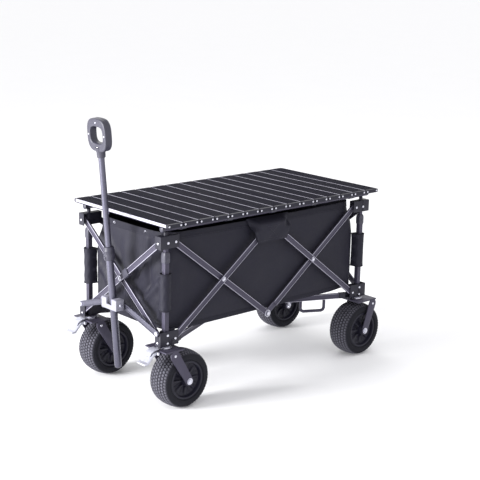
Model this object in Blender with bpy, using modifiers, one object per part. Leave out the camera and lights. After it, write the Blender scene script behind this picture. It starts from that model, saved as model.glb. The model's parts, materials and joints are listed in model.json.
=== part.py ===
"""Folding camp wagon with a slatted table top, as a set of separate parts on their joints.

Metres, +Z up, +X towards the rear, the pull handle at -X and the wagon's left side at -Y.
The frame is four telescopic corner posts joined by scissor links of one common length: two
crossings on each long side and one on each end, so every post stays upright while the frame
gathers to the middle. Empties stand on the joint axes and carry the pieces that turn with them.
"""
import math

import bmesh
import bpy
from mathutils import Matrix, Vector

# ---- driving sizes ------------------------------------------------------------------------
GAP = 0.0003                      # between pieces that touch

END_SPAN = 0.3725                 # between the two pins of an end wall, open
PIN_RISE = 0.285                  # lower pin to upper pin, open
PIN_ABOVE_TYRE = 0.042            # top of a tyre to the lower pins
SIDE_PIN_INSET = 0.029            # post axis to the side links' pin, along X
FLOOR_PIN_INSET = (0.057, 0.014)  # post axis to the floor bar's pin, along X and Y

LINK_WIDTH = 0.018
LINK_THICKNESS = 0.0065
TONGUE_LENGTH = 0.040             # thinned end of a link that laps its neighbour

POST_WIDTH = 0.0148
POST_WALL = 0.0015
POST_BELOW_PIN = 0.047            # upper pin down to the lower tube's mouth
INNER_TUBE_WIDTH = 0.0108
INNER_TUBE_WALL = 0.0013
INNER_TUBE_ABOVE_PIN = 0.047      # lower pin up to the inner tube's end
TUBE_PLAY = 0.0005

EAR_THICKNESS = 0.003
END_EAR_HALF = 0.0125             # half width of the plate before the end links
LOWER_BRACKET_HEIGHT = 0.0425
UPPER_BRACKET_HEIGHT = 0.037
BRACKET_BELOW_PIN = 0.0175
BRACKET_FLOOR = 0.003
PEG_RADIUS = 0.006
PEG_HEIGHT = 0.0115

FLOOR_BAR_HEIGHT = 0.018
FLOOR_BAR_THICKNESS = 0.008
FLOOR_BAR_DROP = 0.0095           # lower pin to the floor bar's pin
HUB_PIN_RADIUS = 0.078            # hub centre to a floor bar's inner pin
HUB_SAG = 0.006
HUB_SIZE = (0.176, 0.104, 0.004)
FOOT_LOOP_START = 0.060           # along the floor bar from its outer pin
FOOT_LOOP_LENGTH = 0.080
FOOT_LOOP_DEPTH = 0.034
FOOT_LOOP_RADIUS = 0.005

WHEEL_RADIUS = 0.0865
SHOULDER_RADIUS = 0.0705
TYRE_WIDTH = 0.080
RIM_RADIUS = 0.0550
RIM_INSET = 0.006                 # tyre's side to the rim's side
RIM_WALL = 0.0035
RIM_WEB = 0.008
HUB_RADIUS = 0.014
AXLE_RADIUS = 0.006
AXLE_PLAY = 0.0003
AXLE_HEAD_RADIUS = 0.0085
WHEEL_INSET = 0.006               # post axis to the wheel's middle plane
FORK_CLEARANCE = 0.005            # tyre's side to a fork leg
FORK_WALL = 0.0035
BEARING_HEIGHT = 0.007            # fork plate to the lower bracket
FORK_PLATE = 0.004
FORK_LEG_TOP_RADIUS = 0.0155
FORK_LEG_END_RADIUS = 0.013
FRONT_TRAIL = 0.058               # swivel axis to axle, rearwards
FRONT_LEG_TOP = 0.004
REAR_TRAIL = 0.003
REAR_LEG_TOP = 0.035
BEARING_RADIUS = 0.016
PEDAL_WIDTH = 0.036
PEDAL_PIVOT = (-0.038, -0.0335)   # from the swivel axis and from the lower pins' height

HANDLE_LEAN = math.radians(5.0)
PIVOT_IN_BLOCK = 0.0122           # pivot block's rear face to the pole's pivot
ARM_CLEARANCE = 0.0008            # before and behind the handle's arms
HANDLE_PIVOT_RISE = 0.073         # lower pin to the pole's pivot
ARM_PIN_RISE = 0.023              # lower pin to an arm's pin
ARM_WIDTH = 0.018
ARM_THICKNESS = 0.005
ARM_BOSS_RADIUS = 0.005
ARM_BOSS_DROP = 0.004             # the boss sits a little below the arm's pin
BLOCK_PIN_OFFSET = 0.022
BLOCK_SIZE = (0.0285, 0.072, 0.033)
BLOCK_WALL = 0.004
POLE_LOWER_RADIUS = 0.011
POLE_UPPER_RADIUS = 0.009
POLE_WALL = 0.0015
POLE_LOWER_SPAN = (-0.205, 0.155)  # along the pole from its pivot
POLE_UPPER_SPAN = (0.112, 0.456)
COLLAR_SPAN = (0.134, 0.173)
COLLAR_RADIUS = 0.0165
SLOT_PLAY = 0.0012
TRUNNION_RADIUS = 0.004
GRIP_TOP = 0.5490                 # along the pole from its pivot
GRIP_SIZE = (0.087, 0.0945, 0.024)
GRIP_OPENING = (0.058, 0.048)
GRIP_ROUNDING = 0.004
NECK_SPAN = (0.4365, 0.462)
NECK_RADIUS = 0.0125

BAG_HALF_LENGTH_CLEARANCE = 0.003
BAG_ABOVE_LOWER_PIN = 0.0135
BAG_ABOVE_UPPER_PIN = 0.018
BAG_WALL = 0.0025
BAG_CORNER = 0.012

TABLE_LENGTH = 0.865
TABLE_WIDTH = 0.450
TABLE_OFFSET = 0.006              # the table's middle lies behind the frame's middle
TABLE_ABOVE_PIN = 0.060           # upper pin to the table's face
SLAT_COUNT = 15
SLAT_THICKNESS = 0.012
SLAT_GAP = 0.0025
STRIP_WIDTH = 0.020
STRIP_THICKNESS = 0.002
RAIL_RADIUS = 0.008
RAIL_LENGTH = 0.850

# ---- sizes that follow ----------------------------------------------------------------------
SIDE_SPAN = 2 * END_SPAN
LINK_LENGTH = math.hypot(END_SPAN, PIN_RISE)
OPEN_ANGLE = math.atan2(PIN_RISE, END_SPAN)
LOWER_PIN_Z = 2 * WHEEL_RADIUS + PIN_ABOVE_TYRE
UPPER_PIN_Z = LOWER_PIN_Z + PIN_RISE
POST_TOP_Z = UPPER_PIN_Z - POST_BELOW_PIN
INNER_TUBE_BOTTOM_Z = LOWER_PIN_Z + INNER_TUBE_ABOVE_PIN
RIM_WIDTH = TYRE_WIDTH - 2 * RIM_INSET
FORK_INNER = TYRE_WIDTH / 2 + FORK_CLEARANCE
FORK_PLATE_TOP_Z = LOWER_PIN_Z - BRACKET_BELOW_PIN - BEARING_HEIGHT
HANDLE_PIVOT_Z = LOWER_PIN_Z + HANDLE_PIVOT_RISE
ARM_PIN_Z = LOWER_PIN_Z + ARM_PIN_RISE
BAG_BOTTOM_Z = LOWER_PIN_Z + BAG_ABOVE_LOWER_PIN
BAG_TOP_Z = UPPER_PIN_Z + BAG_ABOVE_UPPER_PIN
TABLE_TOP_Z = UPPER_PIN_Z + TABLE_ABOVE_PIN
POST_X = SIDE_SPAN / 2 + SIDE_PIN_INSET
POST_Y = END_SPAN / 2
EAR_INNER = LINK_THICKNESS + 0.0008
EAR_OUTER = EAR_INNER + EAR_THICKNESS
SLEEVE_HALF = POST_WIDTH / 2 + GAP + 0.0025
END_LAYER_START = SLEEVE_HALF + 0.0005
END_STACK = END_LAYER_START + 2 * LINK_THICKNESS + 2 * GAP
FRONT_FACE = END_STACK + GAP + EAR_THICKNESS
LOWER_BRACKET_BOTTOM = LOWER_PIN_Z - BRACKET_BELOW_PIN
LOWER_BRACKET_TOP = LOWER_BRACKET_BOTTOM + LOWER_BRACKET_HEIGHT
UPPER_BRACKET_TOP = UPPER_PIN_Z + BRACKET_BELOW_PIN + BRACKET_FLOOR
UPPER_BRACKET_BOTTOM = UPPER_BRACKET_TOP - UPPER_BRACKET_HEIGHT
RAIL_Z = TABLE_TOP_Z - SLAT_THICKNESS - GAP - RAIL_RADIUS
FLOOR_BAR_Z = LOWER_PIN_Z - FLOOR_BAR_DROP
ARM_LAYER = (-POST_X - FRONT_FACE - ARM_CLEARANCE - ARM_THICKNESS, -POST_X - FRONT_FACE - ARM_CLEARANCE)
HANDLE_PIVOT_FORWARD = FRONT_FACE + 2 * ARM_CLEARANCE + ARM_THICKNESS + PIVOT_IN_BLOCK
CORNERS = {"fl": (-1, -1), "rl": (1, -1), "fr": (-1, 1), "rr": (1, 1)}

# ---- scene helpers --------------------------------------------------------------------------


def clear_scene():
    for item in list(bpy.data.objects):
        bpy.data.objects.remove(item, do_unlink=True)


def new_collection(name):
    group = bpy.data.collections.new(name)
    bpy.context.scene.collection.children.link(group)
    return group


def new_material(name, colour, roughness, metallic):
    material = bpy.data.materials.new(name)
    material.use_nodes = True
    shader = material.node_tree.nodes["Principled BSDF"]
    shader.inputs["Base Color"].default_value = (*colour, 1.0)
    shader.inputs["Roughness"].default_value = roughness
    shader.inputs["Metallic"].default_value = metallic
    material.diffuse_color = (*colour, 1.0)
    return material


clear_scene()
PARTS = new_collection("folding_camp_wagon")
CUTTERS = new_collection("cutters")
STEEL = new_material("powder_coated_steel", (0.06, 0.055, 0.08), 0.45, 0.6)
BRACKET = new_material("moulded_nylon", (0.03, 0.03, 0.04), 0.5, 0.0)
ALUMINIUM = new_material("anodised_aluminium", (0.035, 0.03, 0.05), 0.4, 0.8)
RUBBER = new_material("tyre_rubber", (0.028, 0.027, 0.035), 0.85, 0.0)
PLASTIC = new_material("moulded_plastic", (0.04, 0.04, 0.05), 0.55, 0.0)
FABRIC = new_material("coated_oxford_cloth", (0.03, 0.03, 0.045), 0.7, 0.0)
ZINC = new_material("zinc_plated_steel", (0.6, 0.6, 0.65), 0.35, 0.9)

BODIES = {}
PLACES = {}


def body(name, at, parent=None):
    """An empty on a joint's axis, which carries the pieces of one moving body."""
    empty = bpy.data.objects.new("body_" + name, None)
    PARTS.objects.link(empty)
    BODIES[name] = empty
    PLACES[name] = Vector(at)
    if parent:
        empty.parent = BODIES[parent]
        empty.location = PLACES[name] - PLACES[parent]
    else:
        empty.location = PLACES[name]
    return empty


def attach(piece, name, at):
    """Put a piece's origin at a place in the wagon's frame and hang it on a body."""
    piece.parent = BODIES[name]
    piece.location = Vector(at) - PLACES[name]
    return piece


def mesh_object(name, mesh, material, group=None):
    piece = bpy.data.objects.new(name, mesh)
    (group or PARTS).objects.link(piece)
    if material:
        mesh.materials.append(material)
    return piece


def box_mesh(low, high):
    mesh = bpy.data.meshes.new("box")
    bm = bmesh.new()
    low, high = Vector(low), Vector(high)
    size = high - low
    bmesh.ops.create_cube(bm, size=1.0, matrix=Matrix.Translation((low + high) / 2)
                          @ Matrix.Diagonal((*size, 1.0)))
    bm.to_mesh(mesh)
    bm.free()
    return mesh


def box(name, low, high, material=None, group=None):
    return mesh_object(name, box_mesh(low, high), material, group)


def rod_mesh(start, end, radius, segments=16):
    """A round bar between two points."""
    start, end = Vector(start), Vector(end)
    along = end - start
    turn = along.to_track_quat("Z", "Y").to_matrix().to_4x4()
    mesh = bpy.data.meshes.new("rod")
    bm = bmesh.new()
    bmesh.ops.create_cone(bm, cap_ends=True, segments=segments, radius1=radius, radius2=radius,
                          depth=along.length, matrix=Matrix.Translation((start + end) / 2) @ turn)
    bm.to_mesh(mesh)
    bm.free()
    return mesh


def rod(name, start, end, radius, material=None, group=None, segments=16):
    return mesh_object(name, rod_mesh(start, end, radius, segments), material, group)


def combine(target, tool, operation):
    """Boolean a tool into a target; the tool stays as a hidden guide in the cutters collection."""
    modifier = target.modifiers.new(operation.lower(), "BOOLEAN")
    modifier.operation = operation
    modifier.solver = "EXACT"
    modifier.object = tool
    tool.hide_render = True
    tool.hide_viewport = False
    tool.display_type = "WIRE"
    tool.parent = target
    return target


def union(target, mesh):
    return combine(target, mesh_object(target.name + "_add", mesh, None, CUTTERS), "UNION")


def cut(target, mesh):
    return combine(target, mesh_object(target.name + "_cut", mesh, None, CUTTERS), "DIFFERENCE")


def arc(centre, radius, start, end, steps):
    return [(centre[0] + radius * math.cos(start + (end - start) * i / steps),
             centre[1] + radius * math.sin(start + (end - start) * i / steps))
            for i in range(steps + 1)]


def strap_outline(first, first_radius, second, second_radius, steps=6):
    """The outline of a flat bar round two pins: two arcs and their common tangents."""
    along = Vector(second) - Vector(first)
    heading = math.atan2(along.y, along.x)
    spread = math.acos((first_radius - second_radius) / along.length)
    points = arc(first, first_radius, heading + spread, heading + 2 * math.pi - spread, steps)
    points += arc(second, second_radius, heading - spread, heading + spread, steps)
    return points


def rounded_outline(half_x, half_y, radius, steps=4):
    points = []
    for index, (sx, sy) in enumerate(((1, 1), (-1, 1), (-1, -1), (1, -1))):
        centre = (sx * (half_x - radius), sy * (half_y - radius))
        start = index * math.pi / 2
        points += arc(centre, radius, start, start + math.pi / 2, steps)
    return points


def plate_mesh(outlines, thickness, transform=None, bevel=0.0):
    """A flat plate from closed 2D outlines, the later ones being holes, about its middle plane."""
    curve = bpy.data.curves.new("outline", "CURVE")
    curve.dimensions = "2D"
    curve.fill_mode = "BOTH"
    curve.extrude = thickness / 2 - bevel
    curve.bevel_depth = bevel
    curve.bevel_resolution = 1
    for outline in outlines:
        spline = curve.splines.new("POLY")
        spline.points.add(len(outline) - 1)
        for point, (x, y) in zip(spline.points, outline):
            point.co = (x, y, 0.0, 1.0)
        spline.use_cyclic_u = True
    guide = bpy.data.objects.new("outline", curve)
    CUTTERS.objects.link(guide)
    mesh = bpy.data.meshes.new_from_object(
        guide.evaluated_get(bpy.context.evaluated_depsgraph_get()))
    bpy.data.objects.remove(guide, do_unlink=True)
    bm = bmesh.new()
    bm.from_mesh(mesh)
    bmesh.ops.remove_doubles(bm, verts=bm.verts, dist=1e-6)
    bmesh.ops.recalc_face_normals(bm, faces=bm.faces)
    if transform:
        bmesh.ops.transform(bm, matrix=transform, verts=bm.verts)
    bm.to_mesh(mesh)
    bm.free()
    mesh.materials.clear()
    return mesh


def along_y(offset=0.0):
    """Turns an outline drawn in (x, y) to stand in (x, z), with its thickness along Y."""
    return Matrix.Translation((0, offset, 0)) @ Matrix.Rotation(math.pi / 2, 4, "X")


def along_x(offset=0.0):
    """Turns an outline drawn in (x, y) to stand in (y, z), with its thickness along X."""
    turn = Matrix(((0, 0, 1, 0), (1, 0, 0, 0), (0, 1, 0, 0), (0, 0, 0, 1)))
    return Matrix.Translation((offset, 0, 0)) @ turn


def turned(name, profile, material, segments=32, closed=True):
    """A solid of revolution about local Z from (radius, height) points, outer side downwards."""
    mesh = bpy.data.meshes.new(name)
    points = [(radius, 0.0, height) for radius, height in profile]
    edges = [(i, i + 1) for i in range(len(points) - 1)]
    if closed:
        edges.append((len(points) - 1, 0))
    mesh.from_pydata(points, edges, [])
    piece = mesh_object(name, mesh, material)
    screw = piece.modifiers.new("turn", "SCREW")
    screw.axis = "Z"
    screw.steps = segments
    screw.render_steps = segments
    screw.use_merge_vertices = True
    screw.merge_threshold = 0.00001
    screw.use_smooth_shade = True
    return piece


# ---- corner posts ---------------------------------------------------------------------------


def square_tube(name, width, wall, low_z, high_z, material, closed_bottom=False):
    half, bore = width / 2, width / 2 - wall
    tube = box(name, (-half, -half, low_z), (half, half, high_z), material)
    start = low_z + wall if closed_bottom else low_z - wall
    return cut(tube, box_mesh((-bore, -bore, start), (bore, bore, high_z + wall)))


def bracket(name, sx, sy, bottom, top, open_up, tube_width, with_lug):
    """A moulded corner: a sleeve round the tube, a slotted ear for the side links and a channel
    for the end links on the sleeve's outer end face.

    sx and sy point inwards along X and Y. Both slots are open towards the links' other ends and
    closed by a thin floor (or roof) on the far side.
    """
    side = SIDE_PIN_INSET + LINK_WIDTH / 2 + 0.003

    def oriented(low, high):
        xs = sorted((sx * low[0], sx * high[0]))
        ys = sorted((sy * low[1], sy * high[1]))
        return box_mesh((xs[0], ys[0], low[2]), (xs[1], ys[1], high[2]))

    piece = mesh_object(name, oriented((0.0, -EAR_OUTER, bottom), (side, EAR_OUTER, top)), BRACKET)
    union(piece, oriented((-SLEEVE_HALF, -SLEEVE_HALF, bottom), (SLEEVE_HALF, SLEEVE_HALF, top)))
    union(piece, oriented((-FRONT_FACE, -END_EAR_HALF, bottom), (0.0, END_EAR_HALF, top)))
    if with_lug:
        # a lug towards the wagon's middle, slotted for the floor bar
        slot_half = FLOOR_BAR_THICKNESS / 2 + 0.0004
        turn = (Matrix.Translation((sx * FLOOR_PIN_INSET[0], sy * FLOOR_PIN_INSET[1], 0))
                @ Matrix.Rotation(math.atan2(sy * END_SPAN, sx * SIDE_SPAN), 4, "Z"))
        lug = box_mesh((-0.050, -slot_half - EAR_THICKNESS, bottom),
                       (0.010, slot_half + EAR_THICKNESS, FLOOR_BAR_Z + FLOOR_BAR_HEIGHT / 2))
        lug.transform(turn)
        union(piece, lug)
        slot = box_mesh((-FLOOR_BAR_HEIGHT / 2 - 0.0015, -slot_half, bottom - 0.01),
                        (0.020, slot_half, top))
        slot.transform(turn)
        cut(piece, slot)
    low = bottom + BRACKET_FLOOR if open_up else bottom - 0.01
    high = top + 0.01 if open_up else top - BRACKET_FLOOR
    cut(piece, oriented((SLEEVE_HALF, -EAR_INNER, low), (side + 0.01, EAR_INNER, high)))
    link_room = LINK_WIDTH / 2 + 0.0008
    cut(piece, oriented((-END_STACK - GAP, -link_room, low), (-SLEEVE_HALF, END_EAR_HALF + 0.01, high)))
    hole = tube_width / 2 + GAP
    cut(piece, box_mesh((-hole, -hole, low), (hole, hole, high)))
    return piece


def lower_corner(corner, body_name):
    sx, sy = CORNERS[corner]
    at = (sx * POST_X, sy * POST_Y, 0)
    tube = square_tube("post_lower_tube_" + corner, POST_WIDTH, POST_WALL,
                       LOWER_BRACKET_BOTTOM + BRACKET_FLOOR + GAP, POST_TOP_Z, STEEL)
    attach(tube, body_name, at)
    piece = bracket("lower_bracket_" + corner, -sx, -sy, LOWER_BRACKET_BOTTOM,
                    LOWER_BRACKET_TOP, True, POST_WIDTH, True)
    attach(piece, body_name, at)
    if sx < 0:
        # the boss that spaces the handle arm off the bracket
        union(piece, rod_mesh((-FRONT_FACE + 0.001, 0, ARM_PIN_Z - ARM_BOSS_DROP),
                              (ARM_LAYER[1] + POST_X + GAP, 0, ARM_PIN_Z - ARM_BOSS_DROP),
                              ARM_BOSS_RADIUS))


def upper_corner(corner, body_name):
    sx, sy = CORNERS[corner]
    at = (sx * POST_X, sy * POST_Y, 0)
    tube = square_tube("post_upper_tube_" + corner, INNER_TUBE_WIDTH, INNER_TUBE_WALL,
                       INNER_TUBE_BOTTOM_Z, UPPER_BRACKET_TOP - BRACKET_FLOOR - GAP, STEEL)
    attach(tube, body_name, at)
    piece = bracket("upper_bracket_" + corner, -sx, -sy, UPPER_BRACKET_BOTTOM,
                    UPPER_BRACKET_TOP, False, INNER_TUBE_WIDTH, False)
    union(piece, rod_mesh((0, 0, UPPER_BRACKET_TOP - 0.001),
                          (0, 0, RAIL_Z - RAIL_RADIUS - GAP), PEG_RADIUS))
    attach(piece, body_name, at)


# ---- scissor links --------------------------------------------------------------------------


def link(name, start, end, plane_axis, layer, body_name, tongue=None):
    """A flat link between two pins, lying in a layer (low, high) of the plane's normal.

    tongue is (which end, low, high): that end is thinned to the given layer to lap another link.
    """
    start, end = Vector(start), Vector(end)
    along = end - start
    if plane_axis == "Y":
        heading = math.atan2(along.z, along.x)
        stand, offset = along_y, (0, 1, 0)
    else:
        heading = math.atan2(along.z, along.y)
        stand, offset = along_x, (1, 0, 0)
    outline = strap_outline((0, 0), LINK_WIDTH / 2, (LINK_LENGTH, 0), LINK_WIDTH / 2)
    flat = Matrix.Rotation(heading, 4, "Z")
    middle = (layer[0] + layer[1]) / 2
    mesh = plate_mesh([outline], layer[1] - layer[0], stand(middle) @ flat)
    piece = mesh_object(name, mesh, STEEL)
    if tongue:
        at_end, low, high = tongue
        near = LINK_LENGTH - TONGUE_LENGTH if at_end else -0.02
        far = LINK_LENGTH + 0.02 if at_end else TONGUE_LENGTH
        waste_low, waste_high = (high, layer[1] + 0.002) if low <= layer[0] else (layer[0] - 0.002, low)
        waste = plate_mesh([[(near, -0.02), (far, -0.02), (far, 0.02), (near, 0.02)]],
                           waste_high - waste_low,
                           stand((waste_low + waste_high) / 2) @ flat)
        cut(piece, waste)
    return attach(piece, body_name, start)


def side_links(side, sy, front_post, rear_corner, front_corner=None):
    """The four links of one long side, as a chain of bodies from the front post.

    front_corner names the upper bracket that hangs on this chain, where it hangs on no other.
    """
    y = sy * POST_Y
    low_z, high_z, half = LOWER_PIN_Z, UPPER_PIN_Z, SIDE_SPAN / 2
    outer = sorted((sy * GAP, sy * (LINK_THICKNESS + GAP)))
    inner = sorted((-sy * GAP, -sy * (LINK_THICKNESS + GAP)))
    lap = LINK_THICKNESS / 2 - GAP / 2

    def outer_half(layer):
        return (layer[1] - lap, layer[1]) if sy > 0 else (layer[0], layer[0] + lap)

    def inner_half(layer):
        return (layer[0], layer[0] + lap) if sy > 0 else (layer[1] - lap, layer[1])

    front_low, top_mid = (-half, y, low_z), (0, y, high_z)
    front_high, bottom_mid = (-half, y, high_z), (0, y, low_z)
    rear_low, rear_high = (half, y, low_z), (half, y, high_z)
    front_cross = (-half / 2, y, (low_z + high_z) / 2)
    rear_cross = (half / 2, y, (low_z + high_z) / 2)
    body("link_front_rising_" + side, front_low, front_post)
    body("link_front_falling_" + side, front_cross, "link_front_rising_" + side)
    body("link_rear_falling_" + side, top_mid, "link_front_rising_" + side)
    body("link_rear_rising_" + side, rear_cross, "link_rear_falling_" + side)
    body("post_" + rear_corner, rear_low, "link_rear_falling_" + side)
    body("top_" + rear_corner, rear_high, "link_rear_rising_" + side)
    if front_corner:
        body("top_" + front_corner, front_high, "link_front_falling_" + side)
    name = "link_front_rising_" + side
    link(name, front_low, top_mid, "Y", outer, name, (1, *outer_half(outer)))
    name = "link_front_falling_" + side
    link(name, front_high, bottom_mid, "Y", inner, name, (1, *outer_half(inner)))
    name = "link_rear_falling_" + side
    link(name, top_mid, rear_low, "Y", outer, name, (0, *inner_half(outer)))
    name = "link_rear_rising_" + side
    link(name, bottom_mid, rear_high, "Y", inner, name, (0, *inner_half(inner)))


def end_links(end, sx, left_post, right_corner):
    """The two crossing links of an end wall; the right post hangs on the second one at the front."""
    x = sx * POST_X
    half, low_z, high_z = END_SPAN / 2, LOWER_PIN_Z, UPPER_PIN_Z
    between = END_LAYER_START + LINK_THICKNESS + GAP
    inner = sorted((sx * END_LAYER_START, sx * (END_LAYER_START + LINK_THICKNESS)))
    outer = sorted((sx * between, sx * (between + LINK_THICKNESS)))
    left_low, right_high = (x, -half, low_z), (x, half, high_z)
    right_low, left_high = (x, half, low_z), (x, -half, high_z)
    cross = (x, 0, (low_z + high_z) / 2)
    rising, falling = "link_rising_" + end, "link_falling_" + end
    body(rising, left_low, left_post)
    body(falling, cross, rising)
    if right_corner:
        body("post_" + right_corner, right_low, falling)
        body("top_" + right_corner, right_high, rising)
    link(rising, left_low, right_high, "X", inner, rising)
    link(falling, left_high, right_low, "X", outer, falling)


# ---- floor ----------------------------------------------------------------------------------


def floor_bar(corner, post_body):
    """A flat bar from a lower bracket to the middle, hinged to lift as the frame closes."""
    sx, sy = CORNERS[corner]
    heading = math.atan2(-sy * END_SPAN, -sx * SIDE_SPAN)
    outer_pin = Vector((sx * (POST_X - FLOOR_PIN_INSET[0]), sy * (POST_Y - FLOOR_PIN_INSET[1]),
                        FLOOR_BAR_Z))
    reach = math.hypot(outer_pin.x, outer_pin.y) - HUB_PIN_RADIUS
    length = math.hypot(reach, HUB_SAG)
    slope = math.asin(HUB_SAG / length)
    radius = FLOOR_BAR_HEIGHT / 2
    outline = strap_outline((0, 0), radius, (length * math.cos(slope), -HUB_SAG), radius)
    turn = Matrix.Rotation(heading, 4, "Z")
    mesh = plate_mesh([outline], FLOOR_BAR_THICKNESS, turn @ along_y())
    name = "floor_bar_" + corner
    body(name, outer_pin, post_body)
    attach(mesh_object(name, mesh, STEEL), name, outer_pin)
    if sx > 0:
        start, depth = FOOT_LOOP_START, FOOT_LOOP_DEPTH
        top = -radius - math.tan(slope) * (start + FOOT_LOOP_LENGTH) - 2 * GAP
        end, bend = start + FOOT_LOOP_LENGTH, 0.010
        route = [(start, 0, top), (start, 0, top - depth + bend),
                 (start + 0.3 * bend, 0, top - depth + 0.3 * bend),
                 (start + bend, 0, top - depth), (end - bend, 0, top - depth),
                 (end - 0.3 * bend, 0, top - depth + 0.3 * bend),
                 (end, 0, top - depth + bend), (end, 0, top)]
        loop = wire("floor_foot_loop_" + corner, route, FOOT_LOOP_RADIUS, turn)
        attach(loop, name, outer_pin)


def wire(name, route, radius, transform):
    """A round wire along points, with filled caps."""
    curve = bpy.data.curves.new(name, "CURVE")
    curve.dimensions = "3D"
    curve.bevel_depth = radius
    curve.bevel_resolution = 2
    curve.use_fill_caps = True
    spline = curve.splines.new("POLY")
    spline.points.add(len(route) - 1)
    for point, place in zip(spline.points, route):
        point.co = (*(transform @ Vector(place)), 1.0)
    piece = bpy.data.objects.new(name, curve)
    PARTS.objects.link(piece)
    curve.materials.append(STEEL)
    return piece


def floor_hub():
    heading_x, heading_y = SIDE_SPAN, END_SPAN
    norm = math.hypot(heading_x, heading_y)
    pin_z = FLOOR_BAR_Z - HUB_SAG
    pin = (-HUB_PIN_RADIUS * heading_x / norm, -HUB_PIN_RADIUS * heading_y / norm, pin_z)
    body("floor_hub", pin, "floor_bar_fl")
    outline = rounded_outline(HUB_SIZE[0] / 2, HUB_SIZE[1] / 2, 0.02)
    level = FLOOR_BAR_HEIGHT / 2 + 2 * GAP + HUB_SIZE[2] / 2
    mesh = plate_mesh([outline], HUB_SIZE[2], Matrix.Translation((-pin[0], -pin[1], level)))
    attach(mesh_object("floor_hub", mesh, BRACKET), "floor_hub", pin)


# ---- wheels ---------------------------------------------------------------------------------


def fork(corner, body_name, swivel, trail, leg_top, plate_front, plate_rear):
    """A bent plate over the wheel with two raked legs, its bearing on top and the axle through."""
    x, y = swivel
    outline = strap_outline((leg_top, FORK_PLATE_TOP_Z - FORK_LEG_TOP_RADIUS),
                            FORK_LEG_TOP_RADIUS, (trail, WHEEL_RADIUS), FORK_LEG_END_RADIUS)
    middle = FORK_INNER + FORK_WALL / 2
    piece = mesh_object("wheel_fork_" + corner,
                        plate_mesh([outline], FORK_WALL, along_y(middle)), STEEL)
    union(piece, plate_mesh([outline], FORK_WALL, along_y(-middle)))
    width = FORK_INNER + FORK_WALL
    union(piece, box_mesh((plate_front, -width + 0.0002, FORK_PLATE_TOP_Z - FORK_PLATE),
                          (plate_rear, width - 0.0002, FORK_PLATE_TOP_Z - 0.0001)))
    bearing_x = 0.0
    union(piece, rod_mesh((bearing_x, 0, FORK_PLATE_TOP_Z - 0.002),
                          (bearing_x, 0, LOWER_BRACKET_BOTTOM - GAP), BEARING_RADIUS, 24))
    union(piece, rod_mesh((trail, -width - 0.004, WHEEL_RADIUS),
                          (trail, width + 0.004, WHEEL_RADIUS), AXLE_RADIUS, 16))
    attach(piece, body_name, (x, y, 0))


def wheel(corner, body_name, centre):
    half, shoulder, crown = TYRE_WIDTH / 2, SHOULDER_RADIUS, WHEEL_RADIUS
    bore = RIM_RADIUS + GAP
    steps = 8
    crown_points = []
    for i in range(steps + 1):
        t = math.pi * (i / steps)
        height = (half - 0.004) * math.cos(t)
        crown_points.append((shoulder + (crown - shoulder) * math.sin(t) ** 0.8, height))
    profile = [(shoulder - 0.004, half)] + crown_points + [(shoulder - 0.004, -half)]
    profile += [(bore, -half + 0.002), (bore, half - 0.002)]
    tyre = turned("tyre_" + corner, profile, RUBBER, 36)
    tyre.rotation_euler = (math.pi / 2, 0, 0)
    attach(tyre, body_name, centre)

    rim_half, bore = RIM_WIDTH / 2, AXLE_RADIUS + AXLE_PLAY
    hub_half = FORK_INNER - 0.0005
    barrel = RIM_RADIUS - RIM_WALL
    web = RIM_WEB / 2
    profile = [(RIM_RADIUS, rim_half), (RIM_RADIUS, -rim_half), (barrel, -rim_half),
               (barrel, -web), (HUB_RADIUS, -web), (HUB_RADIUS, -hub_half),
               (bore, -hub_half), (bore, hub_half), (HUB_RADIUS, hub_half),
               (HUB_RADIUS, web), (barrel, web), (barrel, rim_half)]
    rim = turned("rim_" + corner, profile, PLASTIC, 36)
    rim.rotation_euler = (math.pi / 2, 0, 0)
    attach(rim, body_name, centre)


def brake_pedal(corner, swivel):
    x, y = swivel
    pivot_x, pivot_z = PEDAL_PIVOT[0], LOWER_PIN_Z + PEDAL_PIVOT[1]
    name = "brake_" + corner
    body(name, (x + pivot_x, y, pivot_z), "swivel_" + corner)
    outline = [(0.0045, 0.0065), (-0.012, 0.0035), (-0.034, -0.019), (-0.045, -0.021),
               (-0.045, -0.026), (-0.030, -0.026), (-0.010, -0.004), (0.0045, -0.001)]
    mesh = plate_mesh([outline], PEDAL_WIDTH, along_y())
    attach(mesh_object("brake_pedal_" + corner, mesh, ZINC), name, (x + pivot_x, y, pivot_z))


def wheels():
    for corner, (sx, sy) in CORNERS.items():
        post_body = "root" if corner == "fl" else "post_" + corner
        swivel = (sx * POST_X, sy * (POST_Y - WHEEL_INSET))
        if sx < 0:
            body("swivel_" + corner, (*swivel, FORK_PLATE_TOP_Z), post_body)
            fork(corner, "swivel_" + corner, swivel, FRONT_TRAIL, FRONT_LEG_TOP, -0.030, 0.036)
            brake_pedal(corner, swivel)
            holder, trail = "swivel_" + corner, FRONT_TRAIL
        else:
            fork(corner, post_body, swivel, REAR_TRAIL, REAR_LEG_TOP, -0.034, 0.051)
            holder, trail = post_body, REAR_TRAIL
        centre = (swivel[0] + trail, swivel[1], WHEEL_RADIUS)
        body("wheel_" + corner, centre, holder)
        wheel(corner, "wheel_" + corner, centre)


# ---- pull handle ----------------------------------------------------------------------------


def handle_arm(side, sy, body_name, parent):
    start = (sy * POST_Y, ARM_PIN_Z)
    end = (sy * BLOCK_PIN_OFFSET, HANDLE_PIVOT_Z)
    outline = strap_outline(start, ARM_WIDTH / 2, end, ARM_WIDTH / 2)
    pin = Vector((0, start[0], start[1]))
    mesh = plate_mesh([outline], ARM_THICKNESS, along_x(sum(ARM_LAYER) / 2))
    mesh.transform(Matrix.Translation(-pin))
    body(body_name, pin, parent)
    attach(mesh_object("handle_arm_" + side, mesh, STEEL), body_name, pin)


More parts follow.
